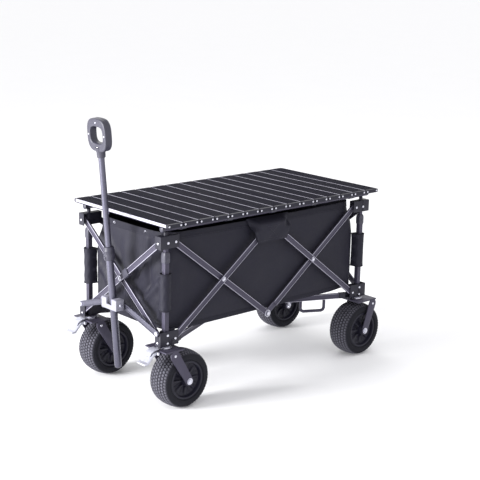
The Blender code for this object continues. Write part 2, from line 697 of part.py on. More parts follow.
def handle():
    pivot = Vector((-POST_X - HANDLE_PIVOT_FORWARD, 0, HANDLE_PIVOT_Z))
    handle_arm("left", -1, "handle_arm_left", "root")
    handle_arm("right", 1, "handle_arm_right", "post_fr")

    block_pin = Vector((0, -BLOCK_PIN_OFFSET, HANDLE_PIVOT_Z))
    body("handle_block", block_pin, "handle_arm_left")
    rear = ARM_LAYER[0] - ARM_CLEARANCE
    front = rear - BLOCK_SIZE[0]
    half_y, half_z = BLOCK_SIZE[1] / 2, BLOCK_SIZE[2] / 2
    piece = box("handle_block", (front, -half_y, -half_z), (rear, half_y, half_z), BRACKET)
    slot = POLE_LOWER_RADIUS + SLOT_PLAY
    # open behind, and closed in front only below the pin, so the pole can lean forwards
    cut(piece, box_mesh((front + BLOCK_WALL, -slot, -half_z - 0.01),
                        (rear + 0.01, slot, half_z + 0.01)))
    cut(piece, box_mesh((front - 0.01, -slot, -0.002), (rear + 0.01, slot, half_z + 0.01)))
    cut(piece, rod_mesh((pivot.x, -0.030, 0), (pivot.x, 0.030, 0), TRUNNION_RADIUS + GAP))
    attach(piece, "handle_block", (0, 0, HANDLE_PIVOT_Z))

    pole = body("handle_pole", pivot, "handle_block")
    pole.rotation_euler = (0, -HANDLE_LEAN, 0)
    grip_body = body("handle_slide", pivot, "handle_pole")
    grip_body.location = (0, 0, 0)

    low, high = POLE_LOWER_SPAN
    outer, inner = POLE_LOWER_RADIUS, POLE_LOWER_RADIUS - POLE_WALL
    profile = [(inner, high), (outer, high), (outer, low + 0.006), (outer * 0.7, low + 0.0015),
               (0.0, low), (0.0, low + 0.004), (inner, low + 0.006)]
    lower = turned("handle_lower_tube", profile, STEEL, 24)
    union(lower, rod_mesh((0, -0.0285, 0), (0, -outer + 0.0008, 0), TRUNNION_RADIUS))
    union(lower, rod_mesh((0, outer - 0.0008, 0), (0, 0.0285, 0), TRUNNION_RADIUS))
    lower.parent = pole

    low, high = COLLAR_SPAN
    step = POLE_LOWER_SPAN[1] + GAP
    wide, narrow = POLE_LOWER_RADIUS + GAP, POLE_UPPER_RADIUS + TUBE_PLAY
    profile = [(narrow, high), (COLLAR_RADIUS - 0.002, high), (COLLAR_RADIUS, high - 0.003),
               (COLLAR_RADIUS, low), (wide, low), (wide, step), (narrow, step)]
    collar = turned("handle_collar", profile, PLASTIC, 24)
    collar.parent = pole

    low, high = POLE_UPPER_SPAN
    outer, inner = POLE_UPPER_RADIUS, POLE_UPPER_RADIUS - POLE_WALL
    profile = [(inner, high), (outer, high), (outer, low), (inner, low)]
    upper = turned("handle_upper_tube", profile, STEEL, 24)
    upper.parent = grip_body

    steps = 24
    width, height, depth = GRIP_SIZE

    def ring(half_w, half_h, power):
        points = []
        for i in range(steps):
            angle = 2 * math.pi * i / steps
            c, s = math.cos(angle), math.sin(angle)
            points.append((half_w * math.copysign(abs(c) ** (2 / power), c),
                           half_h * math.copysign(abs(s) ** (2 / power), s)))
        return points

    centre = GRIP_TOP - height / 2
    outline = ring(width / 2 - GRIP_ROUNDING, height / 2 - GRIP_ROUNDING, 3.2)
    hole = ring(GRIP_OPENING[0] / 2 + GRIP_ROUNDING, GRIP_OPENING[1] / 2 + GRIP_ROUNDING, 3.2)
    mesh = plate_mesh([outline, hole], depth, along_x(), GRIP_ROUNDING)
    mesh.transform(Matrix.Translation((0, 0, centre)))
    grip = mesh_object("handle_grip", mesh, PLASTIC)
    low, high = NECK_SPAN
    union(grip, rod_mesh((0, 0, low), (0, 0, high), NECK_RADIUS, 24))
    cut(grip, rod_mesh((0, 0, low - 0.01), (0, 0, POLE_UPPER_SPAN[1] + GAP),
                       POLE_UPPER_RADIUS + GAP, 24))
    grip.parent = grip_body


# ---- bag and table --------------------------------------------------------------------------


def bag():
    half_x = POST_X - EAR_OUTER - BAG_HALF_LENGTH_CLEARANCE
    half_y = POST_Y - EAR_OUTER - BAG_HALF_LENGTH_CLEARANCE
    height = BAG_TOP_Z - BAG_BOTTOM_Z
    outline = rounded_outline(half_x, half_y, BAG_CORNER)
    mesh = plate_mesh([outline], height, Matrix.Translation((0, 0, height / 2)))
    piece = mesh_object("bag", mesh, FABRIC)
    hollow = rounded_outline(half_x - BAG_WALL, half_y - BAG_WALL, BAG_CORNER - BAG_WALL)
    cut(piece, plate_mesh([hollow], height, Matrix.Translation((0, 0, height / 2 + BAG_WALL))))
    attach(piece, "root", (0, 0, BAG_BOTTOM_Z))


def table():
    at = Vector((TABLE_OFFSET, 0, TABLE_TOP_Z))
    body("table", at, "top_fl")
    pitch = (TABLE_LENGTH + SLAT_GAP) / SLAT_COUNT
    slat = pitch - SLAT_GAP
    start = -TABLE_LENGTH / 2
    half = TABLE_WIDTH / 2
    piece = box("table_top", (start, -half, -SLAT_THICKNESS), (start + slat, half, 0), ALUMINIUM)
    repeat = piece.modifiers.new("slats", "ARRAY")
    repeat.count = SLAT_COUNT
    repeat.use_relative_offset = False
    repeat.use_constant_offset = True
    repeat.constant_offset_displace = (pitch, 0, 0)
    middle = -SLAT_THICKNESS / 2
    for y in (-TABLE_WIDTH / 3, 0.0, TABLE_WIDTH / 3):
        union(piece, box_mesh((start + slat / 2, y - STRIP_WIDTH / 2, middle - STRIP_THICKNESS / 2),
                              (-start - slat / 2, y + STRIP_WIDTH / 2, middle + STRIP_THICKNESS / 2)))
    attach(piece, "table", at)
    for side, sy in (("left", -1), ("right", 1)):
        centre = Vector((TABLE_OFFSET, sy * POST_Y, RAIL_Z))
        rail = rod("table_rail_" + side, (-RAIL_LENGTH / 2, 0, 0), (RAIL_LENGTH / 2, 0, 0),
                   RAIL_RADIUS, STEEL)
        attach(rail, "table", centre)


# ---- assembly -------------------------------------------------------------------------------


def centre_on_ground():
    """Move the root so the wagon's box stands on the ground with its middle over the origin."""
    bpy.context.view_layer.update()
    graph = bpy.context.evaluated_depsgraph_get()
    low, high = Vector((9, 9, 9)), Vector((-9, -9, -9))
    for piece in PARTS.objects:
        if piece.type != "MESH":
            continue
        shape = piece.evaluated_get(graph)
        for corner in shape.bound_box:
            place = shape.matrix_world @ Vector(corner)
            low = Vector(map(min, low, place))
            high = Vector(map(max, high, place))
    middle = (low + high) / 2
    BODIES["root"].location -= Vector((middle.x, middle.y, low.z))
    bpy.context.view_layer.update()


def main():
    body("root", (-POST_X, -POST_Y, 0))
    end_links("front", -1, "root", "fr")
    side_links("left", -1, "root", "rl", "fl")
    side_links("right", 1, "post_fr", "rr")
    end_links("rear", 1, "post_rl", None)
    for corner in CORNERS:
        post_body = "root" if corner == "fl" else "post_" + corner
        lower_corner(corner, post_body)
        upper_corner(corner, "top_" + corner)
        floor_bar(corner, post_body)
    floor_hub()
    wheels()
    handle()
    bag()
    table()
    for piece in PARTS.objects:
        if piece.type == "MESH":
            piece.data.shade_smooth()
            piece.data.set_sharp_from_angle(angle=math.radians(35))
    centre_on_ground()


main()
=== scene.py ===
"""Looks for a folding camp wagon: cloth bag, channel links, treaded tyres and a slatted table top.

Metres, +Z up, +X towards the rear, the handle at -X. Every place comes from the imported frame's
joints and boxes, so the pieces sit on their bodies without any fitting.
"""

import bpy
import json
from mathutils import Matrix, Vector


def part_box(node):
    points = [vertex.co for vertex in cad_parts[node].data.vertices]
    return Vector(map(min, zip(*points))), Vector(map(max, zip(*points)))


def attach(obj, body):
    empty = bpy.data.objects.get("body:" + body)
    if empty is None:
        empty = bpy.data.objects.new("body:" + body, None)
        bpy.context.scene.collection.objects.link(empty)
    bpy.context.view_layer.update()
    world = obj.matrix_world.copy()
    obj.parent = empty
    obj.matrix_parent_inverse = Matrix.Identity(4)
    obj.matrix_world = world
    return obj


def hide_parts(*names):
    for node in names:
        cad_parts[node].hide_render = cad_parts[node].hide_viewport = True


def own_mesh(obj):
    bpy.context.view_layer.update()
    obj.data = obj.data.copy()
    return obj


bl_info = {
    "name": "Folding camp wagon",
    "version": (1, 0, 0),
    "blender": (4, 5, 0),
    "location": "View3D > Sidebar > Wagon",
    "description": "Builds the finished surfaces of a folding camp wagon on its packed frame",
    "category": "Object",
}

import json
import math

import bmesh
import bpy
import numpy as np
from mathutils import Matrix, Vector

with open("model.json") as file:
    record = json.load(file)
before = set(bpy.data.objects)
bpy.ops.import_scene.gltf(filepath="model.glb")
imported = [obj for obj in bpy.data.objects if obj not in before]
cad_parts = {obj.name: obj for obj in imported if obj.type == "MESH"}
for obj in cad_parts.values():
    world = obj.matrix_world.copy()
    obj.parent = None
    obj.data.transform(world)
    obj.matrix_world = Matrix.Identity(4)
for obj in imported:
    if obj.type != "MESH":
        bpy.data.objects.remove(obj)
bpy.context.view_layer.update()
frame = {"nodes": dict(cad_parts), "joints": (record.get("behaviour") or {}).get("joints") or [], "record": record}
RECORD = frame["record"]
JOINTS = {joint["name"]: joint for joint in frame["joints"]}
BODY_OF = {node: body for body, nodes in RECORD["behaviour"]["bodies"].items() for node in nodes}
CORNERS = {"fl": (-1, -1), "rl": (1, -1), "fr": (-1, 1), "rr": (1, 1)}
SIDES = {"left": -1, "right": 1}


def pin(joint):
    """Where a joint's axis stands, as an array."""
    return np.array(JOINTS[joint]["pos_m"], float)


def box(node):
    """A node's lowest and highest corners, as arrays."""
    low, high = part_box(node)
    return np.array(low), np.array(high)


def extent(node):
    """A node's size along X, Y and Z."""
    low, high = box(node)
    return high - low


def face(node, axis, sign):
    """Where a node's box ends along an axis (0, 1, 2), on the side of the sign."""
    return box(node)[1 if sign > 0 else 0][axis]


LOWER_Z = pin("frame_fold")[2]
UPPER_Z = pin("top_fl_pivot")[2]
CROSSING_Z = (LOWER_Z + UPPER_Z) / 2
FRONT_X, POST_Y = np.abs(np.mean(box("post_lower_tube_fl"), 0)[:2]) * (-1, 1)
REAR_X = np.mean(box("post_lower_tube_rl"), 0)[0]
MIDDLE_X = (FRONT_X + REAR_X) / 2
POST_X = (REAR_X - FRONT_X) / 2

# sizes shared by several pieces, in metres
BAR_RADIUS = 0.009            # half width of links, floor bars and arms
TONGUE_LENGTH = 0.0402        # a halved end of a link
BOLT_SUNK = 0.0018            # a crossing bolt's washer lies in the link's channel
BOLT_WASHER = 0.0072
FLOOR_BAR_THICKNESS = 0.008
FORK_SHEET = 0.004
PLUG_RISES = (0.047, 0.075)   # above the lower pins
SLAT_COUNT = 15
SLAT_GAP = 0.0025
SLAT_CAP = 0.007
SLAT_SCREW_IN = 0.0068
GRIP_TOP = 0.5490             # along the pole from its pivot
SLEEVE_RISES = (0.086, 0.194)  # above the lower pins
WALL_GAP = 0.0028             # the cloth stands this far inside the bag's solid


def corner_place(corner):
    """A corner's signs along X and Y, and its post's place."""
    sx, sy = CORNERS[corner]
    return sx, sy, MIDDLE_X + sx * POST_X, sy * POST_Y


def bar_heading(corner):
    """A floor bar's outer pin, and the level direction from it to the middle."""
    outer = pin("floor_bar_%s_pivot" % corner)
    return outer, unit(np.array([MIDDLE_X - outer[0], -outer[1], 0]))


# ---- settings -------------------------------------------------------------------------------


class WagonSizes(bpy.types.PropertyGroup):
    """Sizes of the finished surfaces that a maker would change."""

    rim_width: bpy.props.FloatProperty(
        name="Link rim", description="Width of the raised rim along a link", default=0.0022,
        unit="LENGTH")
    channel_depth: bpy.props.FloatProperty(
        name="Link channel", description="Depth of the channel between a link's rims",
        default=0.0017, unit="LENGTH")
    tread_depth: bpy.props.FloatProperty(
        name="Tread depth", description="Depth of the tyre's grooves", default=0.0030,
        unit="LENGTH")
    tread_pitch: bpy.props.FloatProperty(
        name="Tread pitch", description="Length of one tread block round the tyre",
        default=0.0098, unit="LENGTH")
    tread_ribs: bpy.props.IntProperty(
        name="Tread ribs", description="Ribs across the tyre", default=7)
    spokes: bpy.props.IntProperty(
        name="Spokes", description="Spokes of a wheel rim", default=8)
    slat_ribs: bpy.props.IntProperty(
        name="Slat ribs", description="Fine ribs along the top of one slat", default=11)
    cloth_thickness: bpy.props.FloatProperty(
        name="Cloth", description="Thickness of the bag's cloth", default=0.0012, unit="LENGTH")
    crease_depth: bpy.props.FloatProperty(
        name="Creases", description="How far the bag's creases stand out", default=0.0042,
        unit="LENGTH")
    hem_height: bpy.props.FloatProperty(
        name="Hem", description="Height of the folded hem round the bag's mouth", default=0.020,
        unit="LENGTH")


class WagonColours(bpy.types.PropertyGroup):
    """Colours of the finishes, as sRGB hex."""

    steel: bpy.props.StringProperty(
        name="Frame", description="Powder coat of links, posts and bars", default="#403d4d")
    # a painted highlight colour laid along the links' raised rims
    steel_painted_highlight: bpy.props.StringProperty(
        name="Frame edges", description="Powder coat where rims rub bright", default="#a9a7b6")
    nylon: bpy.props.StringProperty(
        name="Brackets", description="Moulded corner brackets", default="#25242f")
    slat: bpy.props.StringProperty(
        name="Slats", description="Anodised top of the slats", default="#14131f")
    # bright metal painted on the slats' sides as a highlight along the gaps
    slat_edge_highlight: bpy.props.StringProperty(
        name="Bare aluminium", description="Sawn and polished slat edges", default="#c6c4d2")
    tyre: bpy.props.StringProperty(
        name="Tyres", description="Foamed rubber of the tyres", default="#1b1b22")
    # a lighter grey laid on the tops of the tread blocks
    worn: bpy.props.StringProperty(
        name="Worn tread", description="Tops of the tread blocks", default="#62616b")
    rim: bpy.props.StringProperty(
        name="Rims", description="Moulded wheel rims", default="#191826")
    cloth: bpy.props.StringProperty(
        name="Bag", description="Coated cloth of the bag", default="#1d1c2a")
    webbing: bpy.props.StringProperty(
        name="Hems", description="Binding tape and hems", default="#191826")
    thread: bpy.props.StringProperty(
        name="Thread", description="Sewing thread and elastic cords", default="#34333f")
    zinc: bpy.props.StringProperty(
        name="Rivets", description="Plated rivets and bolts", default="#d3d3de")
    pole: bpy.props.StringProperty(
        name="Pole", description="Lacquered tubes of the handle", default="#5d5c6a")
    grip: bpy.props.StringProperty(
        name="Grip", description="Moulded grip and collars", default="#383744")
    block: bpy.props.StringProperty(
        name="Pivot block", description="Moulded block that the pole tilts in", default="#8a8996")
    pedal: bpy.props.StringProperty(
        name="Brake pedals", description="Galvanised sheet of the foot brakes", default="#b9bac6")


def sizes():
    """The scene's WagonSizes."""
    return bpy.context.scene.wagon_sizes


def colours():
    """The scene's WagonColours."""
    return bpy.context.scene.wagon_colours


# ---- materials ------------------------------------------------------------------------------


def linear(hex_text):
    """An sRGB hex colour as linear RGBA."""
    values = np.array([int(hex_text[i:i + 2], 16) for i in (1, 3, 5)]) / 255
    values = np.where(values <= 0.04045, values / 12.92, ((values + 0.055) / 1.055) ** 2.4)
    return (*values.tolist(), 1.0)


def add(tree, kind, inputs=None, **settings):
    """One node with its settings, its inputs set or linked."""
    made = tree.nodes.new(kind)
    for name, value in settings.items():
        setattr(made, name, value)
    for name, value in (inputs or {}).items():
        if isinstance(value, bpy.types.NodeSocket):
            tree.links.new(value, made.inputs[name])
        else:
            made.inputs[name].default_value = value
    return made


def scaled(tint, factor):
    """A linear colour made lighter or darker."""
    return (*[min(1.0, channel * factor) for channel in tint[:3]], 1.0)


def surface(name, tint, patch_mm, grain_mm, depth_mm, rough, metallic=0.0, spread=0.18,
            stretch=(1.0, 1.0, 1.0), **sockets):
    """A principled surface whose colour and roughness drift in soft patches, under a fine grain.

    patch_mm and grain_mm are the sizes of the two noises, depth_mm the height of the grain.
    """
    if name in bpy.data.materials:
        return bpy.data.materials[name], None
    material = bpy.data.materials.new(name)
    material.use_nodes = True
    tree = material.node_tree
    shader = tree.nodes["Principled BSDF"]
    shader.inputs["Metallic"].default_value = metallic
    for socket, value in sockets.items():
        shader.inputs[socket.replace("_", " ")].default_value = value
    place = add(tree, "ShaderNodeTexCoord").outputs["Object"]
    place = add(tree, "ShaderNodeMapping", {"Vector": place, "Scale": stretch}).outputs[0]
    patch = add(tree, "ShaderNodeTexNoise",
                {"Vector": place, "Scale": 1000 / patch_mm, "Detail": 3.0}).outputs[0]
    grain = add(tree, "ShaderNodeTexNoise",
                {"Vector": place, "Scale": 1000 / grain_mm, "Detail": 2.0}).outputs[0]
    both = add(tree, "ShaderNodeMath", {0: patch, 1: grain}, operation="ADD").outputs[0]
    middle = {"Value": both, "From Min": 0.7, "From Max": 1.3}
    share = add(tree, "ShaderNodeMapRange", middle).outputs[0]
    # a colour Mix node has its factor at input 0, its two colours at 6 and 7, its colour at output 2
    tone = add(tree, "ShaderNodeMix", {0: share, 6: scaled(tint, 1 - spread),
                                       7: scaled(tint, 1 + spread)}, data_type="RGBA").outputs[2]
    tree.links.new(tone, shader.inputs["Base Color"])
    drift = add(tree, "ShaderNodeMapRange",
                {**middle, "To Min": rough - 0.07, "To Max": rough + 0.07}).outputs[0]
    tree.links.new(drift, shader.inputs["Roughness"])
    bump = add(tree, "ShaderNodeBump", {"Height": grain, "Strength": 0.6,
                                        "Distance": depth_mm / 1000}).outputs[0]
    tree.links.new(bump, shader.inputs["Normal"])
    return material, tree


def tint_where(tree, attribute, tint):
    """Mixes a second colour over the base colour where a point attribute is 1."""
    base = tree.nodes["Principled BSDF"].inputs["Base Color"]
    tone = base.links[0].from_socket
    share = add(tree, "ShaderNodeAttribute", attribute_name=attribute).outputs["Fac"]
    mixed = add(tree, "ShaderNodeMix", {0: share, 6: tone, 7: tint}, data_type="RGBA").outputs[2]
    tree.links.new(mixed, base)


# Each finish below is one material, two of them with a painted highlight; the comment says what its making gives
# the eye.


def painted_steel():
    """Powder-coated steel: satin, faintly pebbled by the cured powder, with a painted highlight on the rims.

    The pebbles of a powder coat are 0.4 mm wide and are drawn 1.6 mm wide so that they show.
    """
    c = colours()
    material, tree = surface("powder_coated_steel_gunmetal", linear(c.steel), 38, 1.6, 0.05, 0.45,
                             metallic=0.2, spread=0.10, Specular_IOR_Level=0.35)
    if tree:
        # the rim attribute is 1 on a link's raised rims, where a painted highlight lightens the coat
        tint_where(tree, "rim", linear(c.steel_painted_highlight))
    return material


def moulded_nylon():
    """Glass-filled nylon: spark-eroded mould texture, dull with a slight grey bloom."""
    return surface("glass_filled_nylon_black", linear(colours().nylon), 14, 1.4, 0.06, 0.5,
                   spread=0.16, Specular_IOR_Level=0.3)[0]


def anodised():
    """Black anodised aluminium: extruded, so it streaks along the slat, with a soft metal sheen."""
    return surface("anodised_aluminium_black", linear(colours().slat), 30, 1.8, 0.02, 0.6,
                   spread=0.14, stretch=(1.0, 0.06, 1.0), Specular_IOR_Level=0.03)[0]


def slat_edge_highlight_metal():
    """Bright metal on the slats' sides, a painted highlight along the gaps, streaked lengthwise."""
    return surface("extruded_aluminium_bare", linear(colours().slat_edge_highlight), 20, 1.2, 0.01, 0.3,
                   metallic=0.75, spread=0.07, stretch=(1.0, 0.06, 1.0))[0]


def tyre_rubber():
    """Foamed rubber skin from a sand-blasted mould: matte, a lighter grey on the tread block tops."""
    material, tree = surface("foamed_rubber_charcoal", linear(colours().tyre), 22, 1.1, 0.08, 0.8,
                             spread=0.2, Specular_IOR_Level=0.2)
    if tree:
        tint_where(tree, "worn", linear(colours().worn))
    return material


def rim_plastic():
    """Injection-moulded polypropylene: smooth, near black, soft highlights on the ribs."""
    return surface("moulded_polypropylene_black", linear(colours().rim), 18, 2.0, 0.03, 0.45,
                   spread=0.1, Specular_IOR_Level=0.3)[0]


def cap_plastic():
    """Injection-moulded ABS caps, collars and grip: even dark grey with a fine spark grain."""
    return surface("moulded_abs_dark_grey", linear(colours().grip), 16, 1.2, 0.04, 0.45,
                   spread=0.1)[0]


def zinc_plate():
    """Zinc-plated steel: bright rivet heads with a faintly crystalline, uneven sheen."""
    return surface("zinc_plated_steel", linear(colours().zinc), 6, 0.8, 0.01, 0.26, metallic=0.9,
                   spread=0.06)[0]


def galvanised_sheet():
    """Galvanised sheet of the foot brakes: pale grey, dull, with a soft crystalline mottle."""
    return surface("galvanised_sheet_pale", linear(colours().pedal), 7, 1.0, 0.02, 0.42,
                   metallic=0.5, spread=0.1)[0]


def block_nylon():
    """Glass-filled nylon in light grey: the handle's pivot block, matte with a bloom of fibres."""
    return surface("glass_filled_nylon_grey", linear(colours().block), 12, 1.3, 0.05, 0.5,
                   spread=0.1)[0]


def lacquered_tube():
    """Lacquered steel tube: drawn lengthwise, a broad soft highlight down one side."""
    return surface("lacquered_steel_grey", linear(colours().pole), 26, 1.4, 0.015, 0.3,
                   metallic=0.75, spread=0.06, stretch=(1.0, 1.0, 0.08))[0]


def cloth(name, tint_hex, thread_mm, rough=0.6):
    """Coated Oxford cloth: a plain weave of thick threads under a thin, slightly glossy coat.

    The threads are 0.6 mm apart and are drawn thread_mm apart so that they show. Height is the
    product of two sine waves along the cloth's own two directions, from the cloth UV map.
    """
    if name in bpy.data.materials:
        return bpy.data.materials[name]
    material, tree = surface(name, linear(tint_hex), 60, 9.0, 0.25, rough, spread=0.12,
                             Sheen_Weight=0.03, Sheen_Roughness=0.5, Specular_IOR_Level=0.25)
    shader = tree.nodes["Principled BSDF"]
    flat = add(tree, "ShaderNodeUVMap", uv_map="cloth").outputs[0]
    # a wave texture of scale 1 repeats every pi/10 m
    threads = {"Vector": flat, "Scale": 0.31416 / (thread_mm / 1000), "Distortion": 0.4, "Detail": 1.0}
    warp = add(tree, "ShaderNodeTexWave", threads, bands_direction="X").outputs["Fac"]
    weft = add(tree, "ShaderNodeTexWave", threads, bands_direction="Y").outputs["Fac"]
    weave = add(tree, "ShaderNodeMath", {0: warp, 1: weft}, operation="MULTIPLY").outputs[0]
    raised = add(tree, "ShaderNodeBump", {"Height": weave, "Strength": 0.45, "Distance": 0.00022,
                                          "Normal": shader.inputs["Normal"].links[0].from_socket})
    tree.links.new(raised.outputs[0], shader.inputs["Normal"])
    # thread crowns catch a little more light than the gaps between them
    tone = shader.inputs["Base Color"].links[0].from_socket
    shade = add(tree, "ShaderNodeMapRange",
                {"Value": weave, "To Min": 0.72, "To Max": 1.25}).outputs[0]
    mixed = add(tree, "ShaderNodeMix", {0: 1.0, 6: tone, 7: shade}, data_type="RGBA",
                blend_type="MULTIPLY").outputs[2]
    tree.links.new(mixed, shader.inputs["Base Color"])
    return material


def bag_cloth():
    """The bag's own cloth, with its weave drawn 2.4 mm wide."""
    return cloth("coated_oxford_polyester", colours().cloth, 2.4)


def binding_tape():
    """Woven binding tape: the bag's hems, ribbed more coarsely than the cloth it holds."""
    return cloth("woven_binding_tape", colours().webbing, 3.2, 0.7)


def stitch_thread():
    """Bonded polyester sewing thread, a shade lighter than the cloth."""
    return surface("bonded_sewing_thread", linear(colours().thread), 8, 1.0, 0.05, 0.6, spread=0.15)[0]


# ---- shapes ---------------------------------------------------------------------------------


def quads(rows, cols, wrap_rows=False, wrap_cols=False):
    """Joins neighbouring points of a grid as four-sided faces; a wrapped way joins last to first."""
    r = np.arange(rows if wrap_rows else rows - 1)
    c = np.arange(cols if wrap_cols else cols - 1)
    R, C = np.meshgrid(r, c, indexing="ij")
    R2, C2 = (R + 1) % rows, (C + 1) % cols
    return np.stack([R * cols + C, R2 * cols + C, R2 * cols + C2, R * cols + C2], -1).reshape(-1, 4)


def shell(points, wrap_rows=False, wrap_cols=False, capped=False, finish=0, **attributes):
    """A patch for build(): points (rows, columns, 3), and closing end rows when capped.

    A cap is one more row with every point at the end row's mean.
    """
    points = np.asarray(points, float)
    if capped:
        ends = [np.repeat(points[i].mean(0)[None], points.shape[1], 0)[None] for i in (0, -1)]
        points = np.concatenate([ends[0], points, ends[1]])
        attributes = {k: np.concatenate([v[:1], v, v[-1:]]) for k, v in attributes.items()}
    faces = quads(points.shape[0], points.shape[1], wrap_rows, wrap_cols)
    finish = np.broadcast_to(finish, len(faces)) if np.ndim(finish) == 0 else finish
    return {"points": points.reshape(-1, 3), "faces": faces, "finish": finish,
            "attributes": {k: np.asarray(v, float).reshape(-1) for k, v in attributes.items()}}


def spread_out(x, y, z):
    """Points from three coordinates, each repeated to the shape that they share."""
    return np.stack(np.broadcast_arrays(x, y, z), -1)


def build(name, patches, materials, body, replaces=(), uv=None, sharp=38, merge=True):
    """One object from patches, riding on a body.

    merge joins its doubles and turns its faces outward. uv is its cloth map, one pair a point.
    """
    offset, points, faces, finish = 0, [], [], []
    for patch in patches:
        points.append(patch["points"])
        faces.append(patch["faces"] + offset)
        finish.append(patch["finish"])
        offset += len(patch["points"])
    points, faces = np.concatenate(points), np.concatenate(faces)
    mesh = bpy.data.meshes.new(name)
    mesh.from_pydata(points.tolist(), [], faces.tolist())
    mesh.polygons.foreach_set("material_index", np.concatenate(finish).astype(np.int32))
    for key in {k for patch in patches for k in patch["attributes"]}:
        values = np.concatenate([patch["attributes"].get(key, np.zeros(len(patch["points"])))
                                 for patch in patches]).astype(np.float32)
        mesh.attributes.new(key, "FLOAT", "POINT").data.foreach_set("value", values)
    if uv is not None:
        layer = mesh.uv_layers.new(name="cloth")
        corner = np.zeros(len(mesh.loops), np.int32)
        mesh.loops.foreach_get("vertex_index", corner)
        layer.data.foreach_set("uv", np.asarray(uv, np.float32).reshape(-1, 2)[corner].ravel())
    for material in materials:
        mesh.materials.append(material)
    if merge:
        bm = bmesh.new()
        bm.from_mesh(mesh)
        bmesh.ops.remove_doubles(bm, verts=bm.verts, dist=1e-6)
        bmesh.ops.dissolve_degenerate(bm, edges=bm.edges, dist=1e-7)
        bmesh.ops.recalc_face_normals(bm, faces=bm.faces)
        bm.to_mesh(mesh)
        bm.free()
    mesh.shade_smooth()
    mesh.set_sharp_from_angle(angle=math.radians(sharp))
    piece = bpy.data.objects.new(name, mesh)
    bpy.context.scene.collection.objects.link(piece)
    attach(piece, body)
    if replaces:
        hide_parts(*replaces)
    return piece


def unit(vector):
    """A vector, or each of many, at length 1."""
    vector = np.asarray(vector, float)
    return vector / np.linalg.norm(vector, axis=-1, keepdims=True)


def across(axis):
    """Two directions square to an axis and to each other."""
    axis = unit(axis)
    helper = np.array([0, 0, 1.0]) if abs(axis[2]) < 0.9 else np.array([1.0, 0, 0])
    first = unit(np.cross(helper, axis))
    return first, np.cross(axis, first)


def round_angles(count):
    """Angles evenly round a circle, without its closing one."""
    return np.arange(count) * 2 * np.pi / count


def superellipse(count, power):
    """Points of a superellipse of half sizes 1: the sign of each of cos and sin times its power."""
    ways = np.stack([np.cos(round_angles(count)), np.sin(round_angles(count))], -1)
    return np.sign(ways) * np.abs(ways) ** power


def lathe(profile, origin, axis, segments=24, **extra):
    """A profile of (radius, height) turned about an axis: origin + height*axis + radius*direction."""
    profile = np.asarray(profile, float)
    first, second = across(axis)
    angle = round_angles(segments)
    direction = np.cos(angle)[:, None] * first + np.sin(angle)[:, None] * second
    points = (np.asarray(origin, float) + profile[:, 1, None, None] * unit(axis)
              + profile[:, 0, None, None] * direction[None])
    return shell(points, wrap_cols=True, **extra)


def sweep(section, path, up, **extra):
    """A closed section of (side, up) carried along a path, square to it, with both ends capped."""
    path = np.asarray(path, float)
    tangent = unit(np.gradient(path, axis=0))
    side = unit(np.cross(tangent, np.broadcast_to(up, path.shape)))
    above = np.cross(side, tangent)
    section = np.asarray(section, float)
    points = (path[:, None] + section[None, :, 0, None] * side[:, None]
              + section[None, :, 1, None] * above[:, None])
    return shell(points, wrap_cols=True, capped=True, **extra)


def circle(radius, count):
    """Points round a circle."""
    angle = round_angles(count)
    return np.stack([radius * np.cos(angle), radius * np.sin(angle)], -1)


def smooth(value, low, high):
    """0 below low, 1 above high, and the cubic 3t^2-2t^3 between."""
    t = np.clip((np.asarray(value, float) - low) / (high - low), 0, 1)
    return t * t * (3 - 2 * t)


def dome(radius, height, base=0.0):
    """Profile of a pan rivet head: a quarter ellipse over a short wall, sunk 0.6 mm at its foot."""
    t = np.linspace(0, np.pi / 2, 5)
    across_head = radius * np.cos(t)
    across_head[-1] = 0.0
    foot = base - 0.0006
    return [(0, foot), (radius, foot), *zip(across_head, base + height * (0.3 + 0.7 * np.sin(t)))]


def rivets(name, body, places, normal, radius=0.0042, height=0.0022, washer=0.0):
    """Rivet heads standing on a face, with a flat washer ring under each where washer is a radius."""
    patches = []
    for place in places:
        if washer:
            ring = [(0, 0), (washer, 0), (washer, 0.0008), (0, 0.0009)]
            patches.append(lathe(ring, place, normal, 20))
        patches.append(lathe(dome(radius, height, 0.0008 if washer else 0.0), place, normal, 14))
    return build(name, patches, [zinc_plate()], body)


def softened(node, material, radius):
    """A CAD node's own shape with its doubles merged, flat faces rejoined and edges rounded."""
    source = frame["nodes"][node]
    mesh = source.data.copy()
    bm = bmesh.new()
    bm.from_mesh(mesh)
    bmesh.ops.remove_doubles(bm, verts=bm.verts, dist=2e-6)
    bmesh.ops.dissolve_limit(bm, angle_limit=math.radians(1.0), verts=bm.verts, edges=bm.edges)
    bm.to_mesh(mesh)
    bm.free()
    mesh.materials.clear()
    mesh.materials.append(material)
    mesh.shade_smooth()
    piece = bpy.data.objects.new(node + "_finished", mesh)
    bpy.context.scene.collection.objects.link(piece)
    bevel = piece.modifiers.new("edges", "BEVEL")
    bevel.width = radius
    bevel.segments = 2
    bevel.limit_method = "ANGLE"
    bevel.angle_limit = math.radians(30)
    bevel.use_clamp_overlap = True
    bevel.harden_normals = True
    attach(piece, BODY_OF[node])
    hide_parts(node)
    return piece


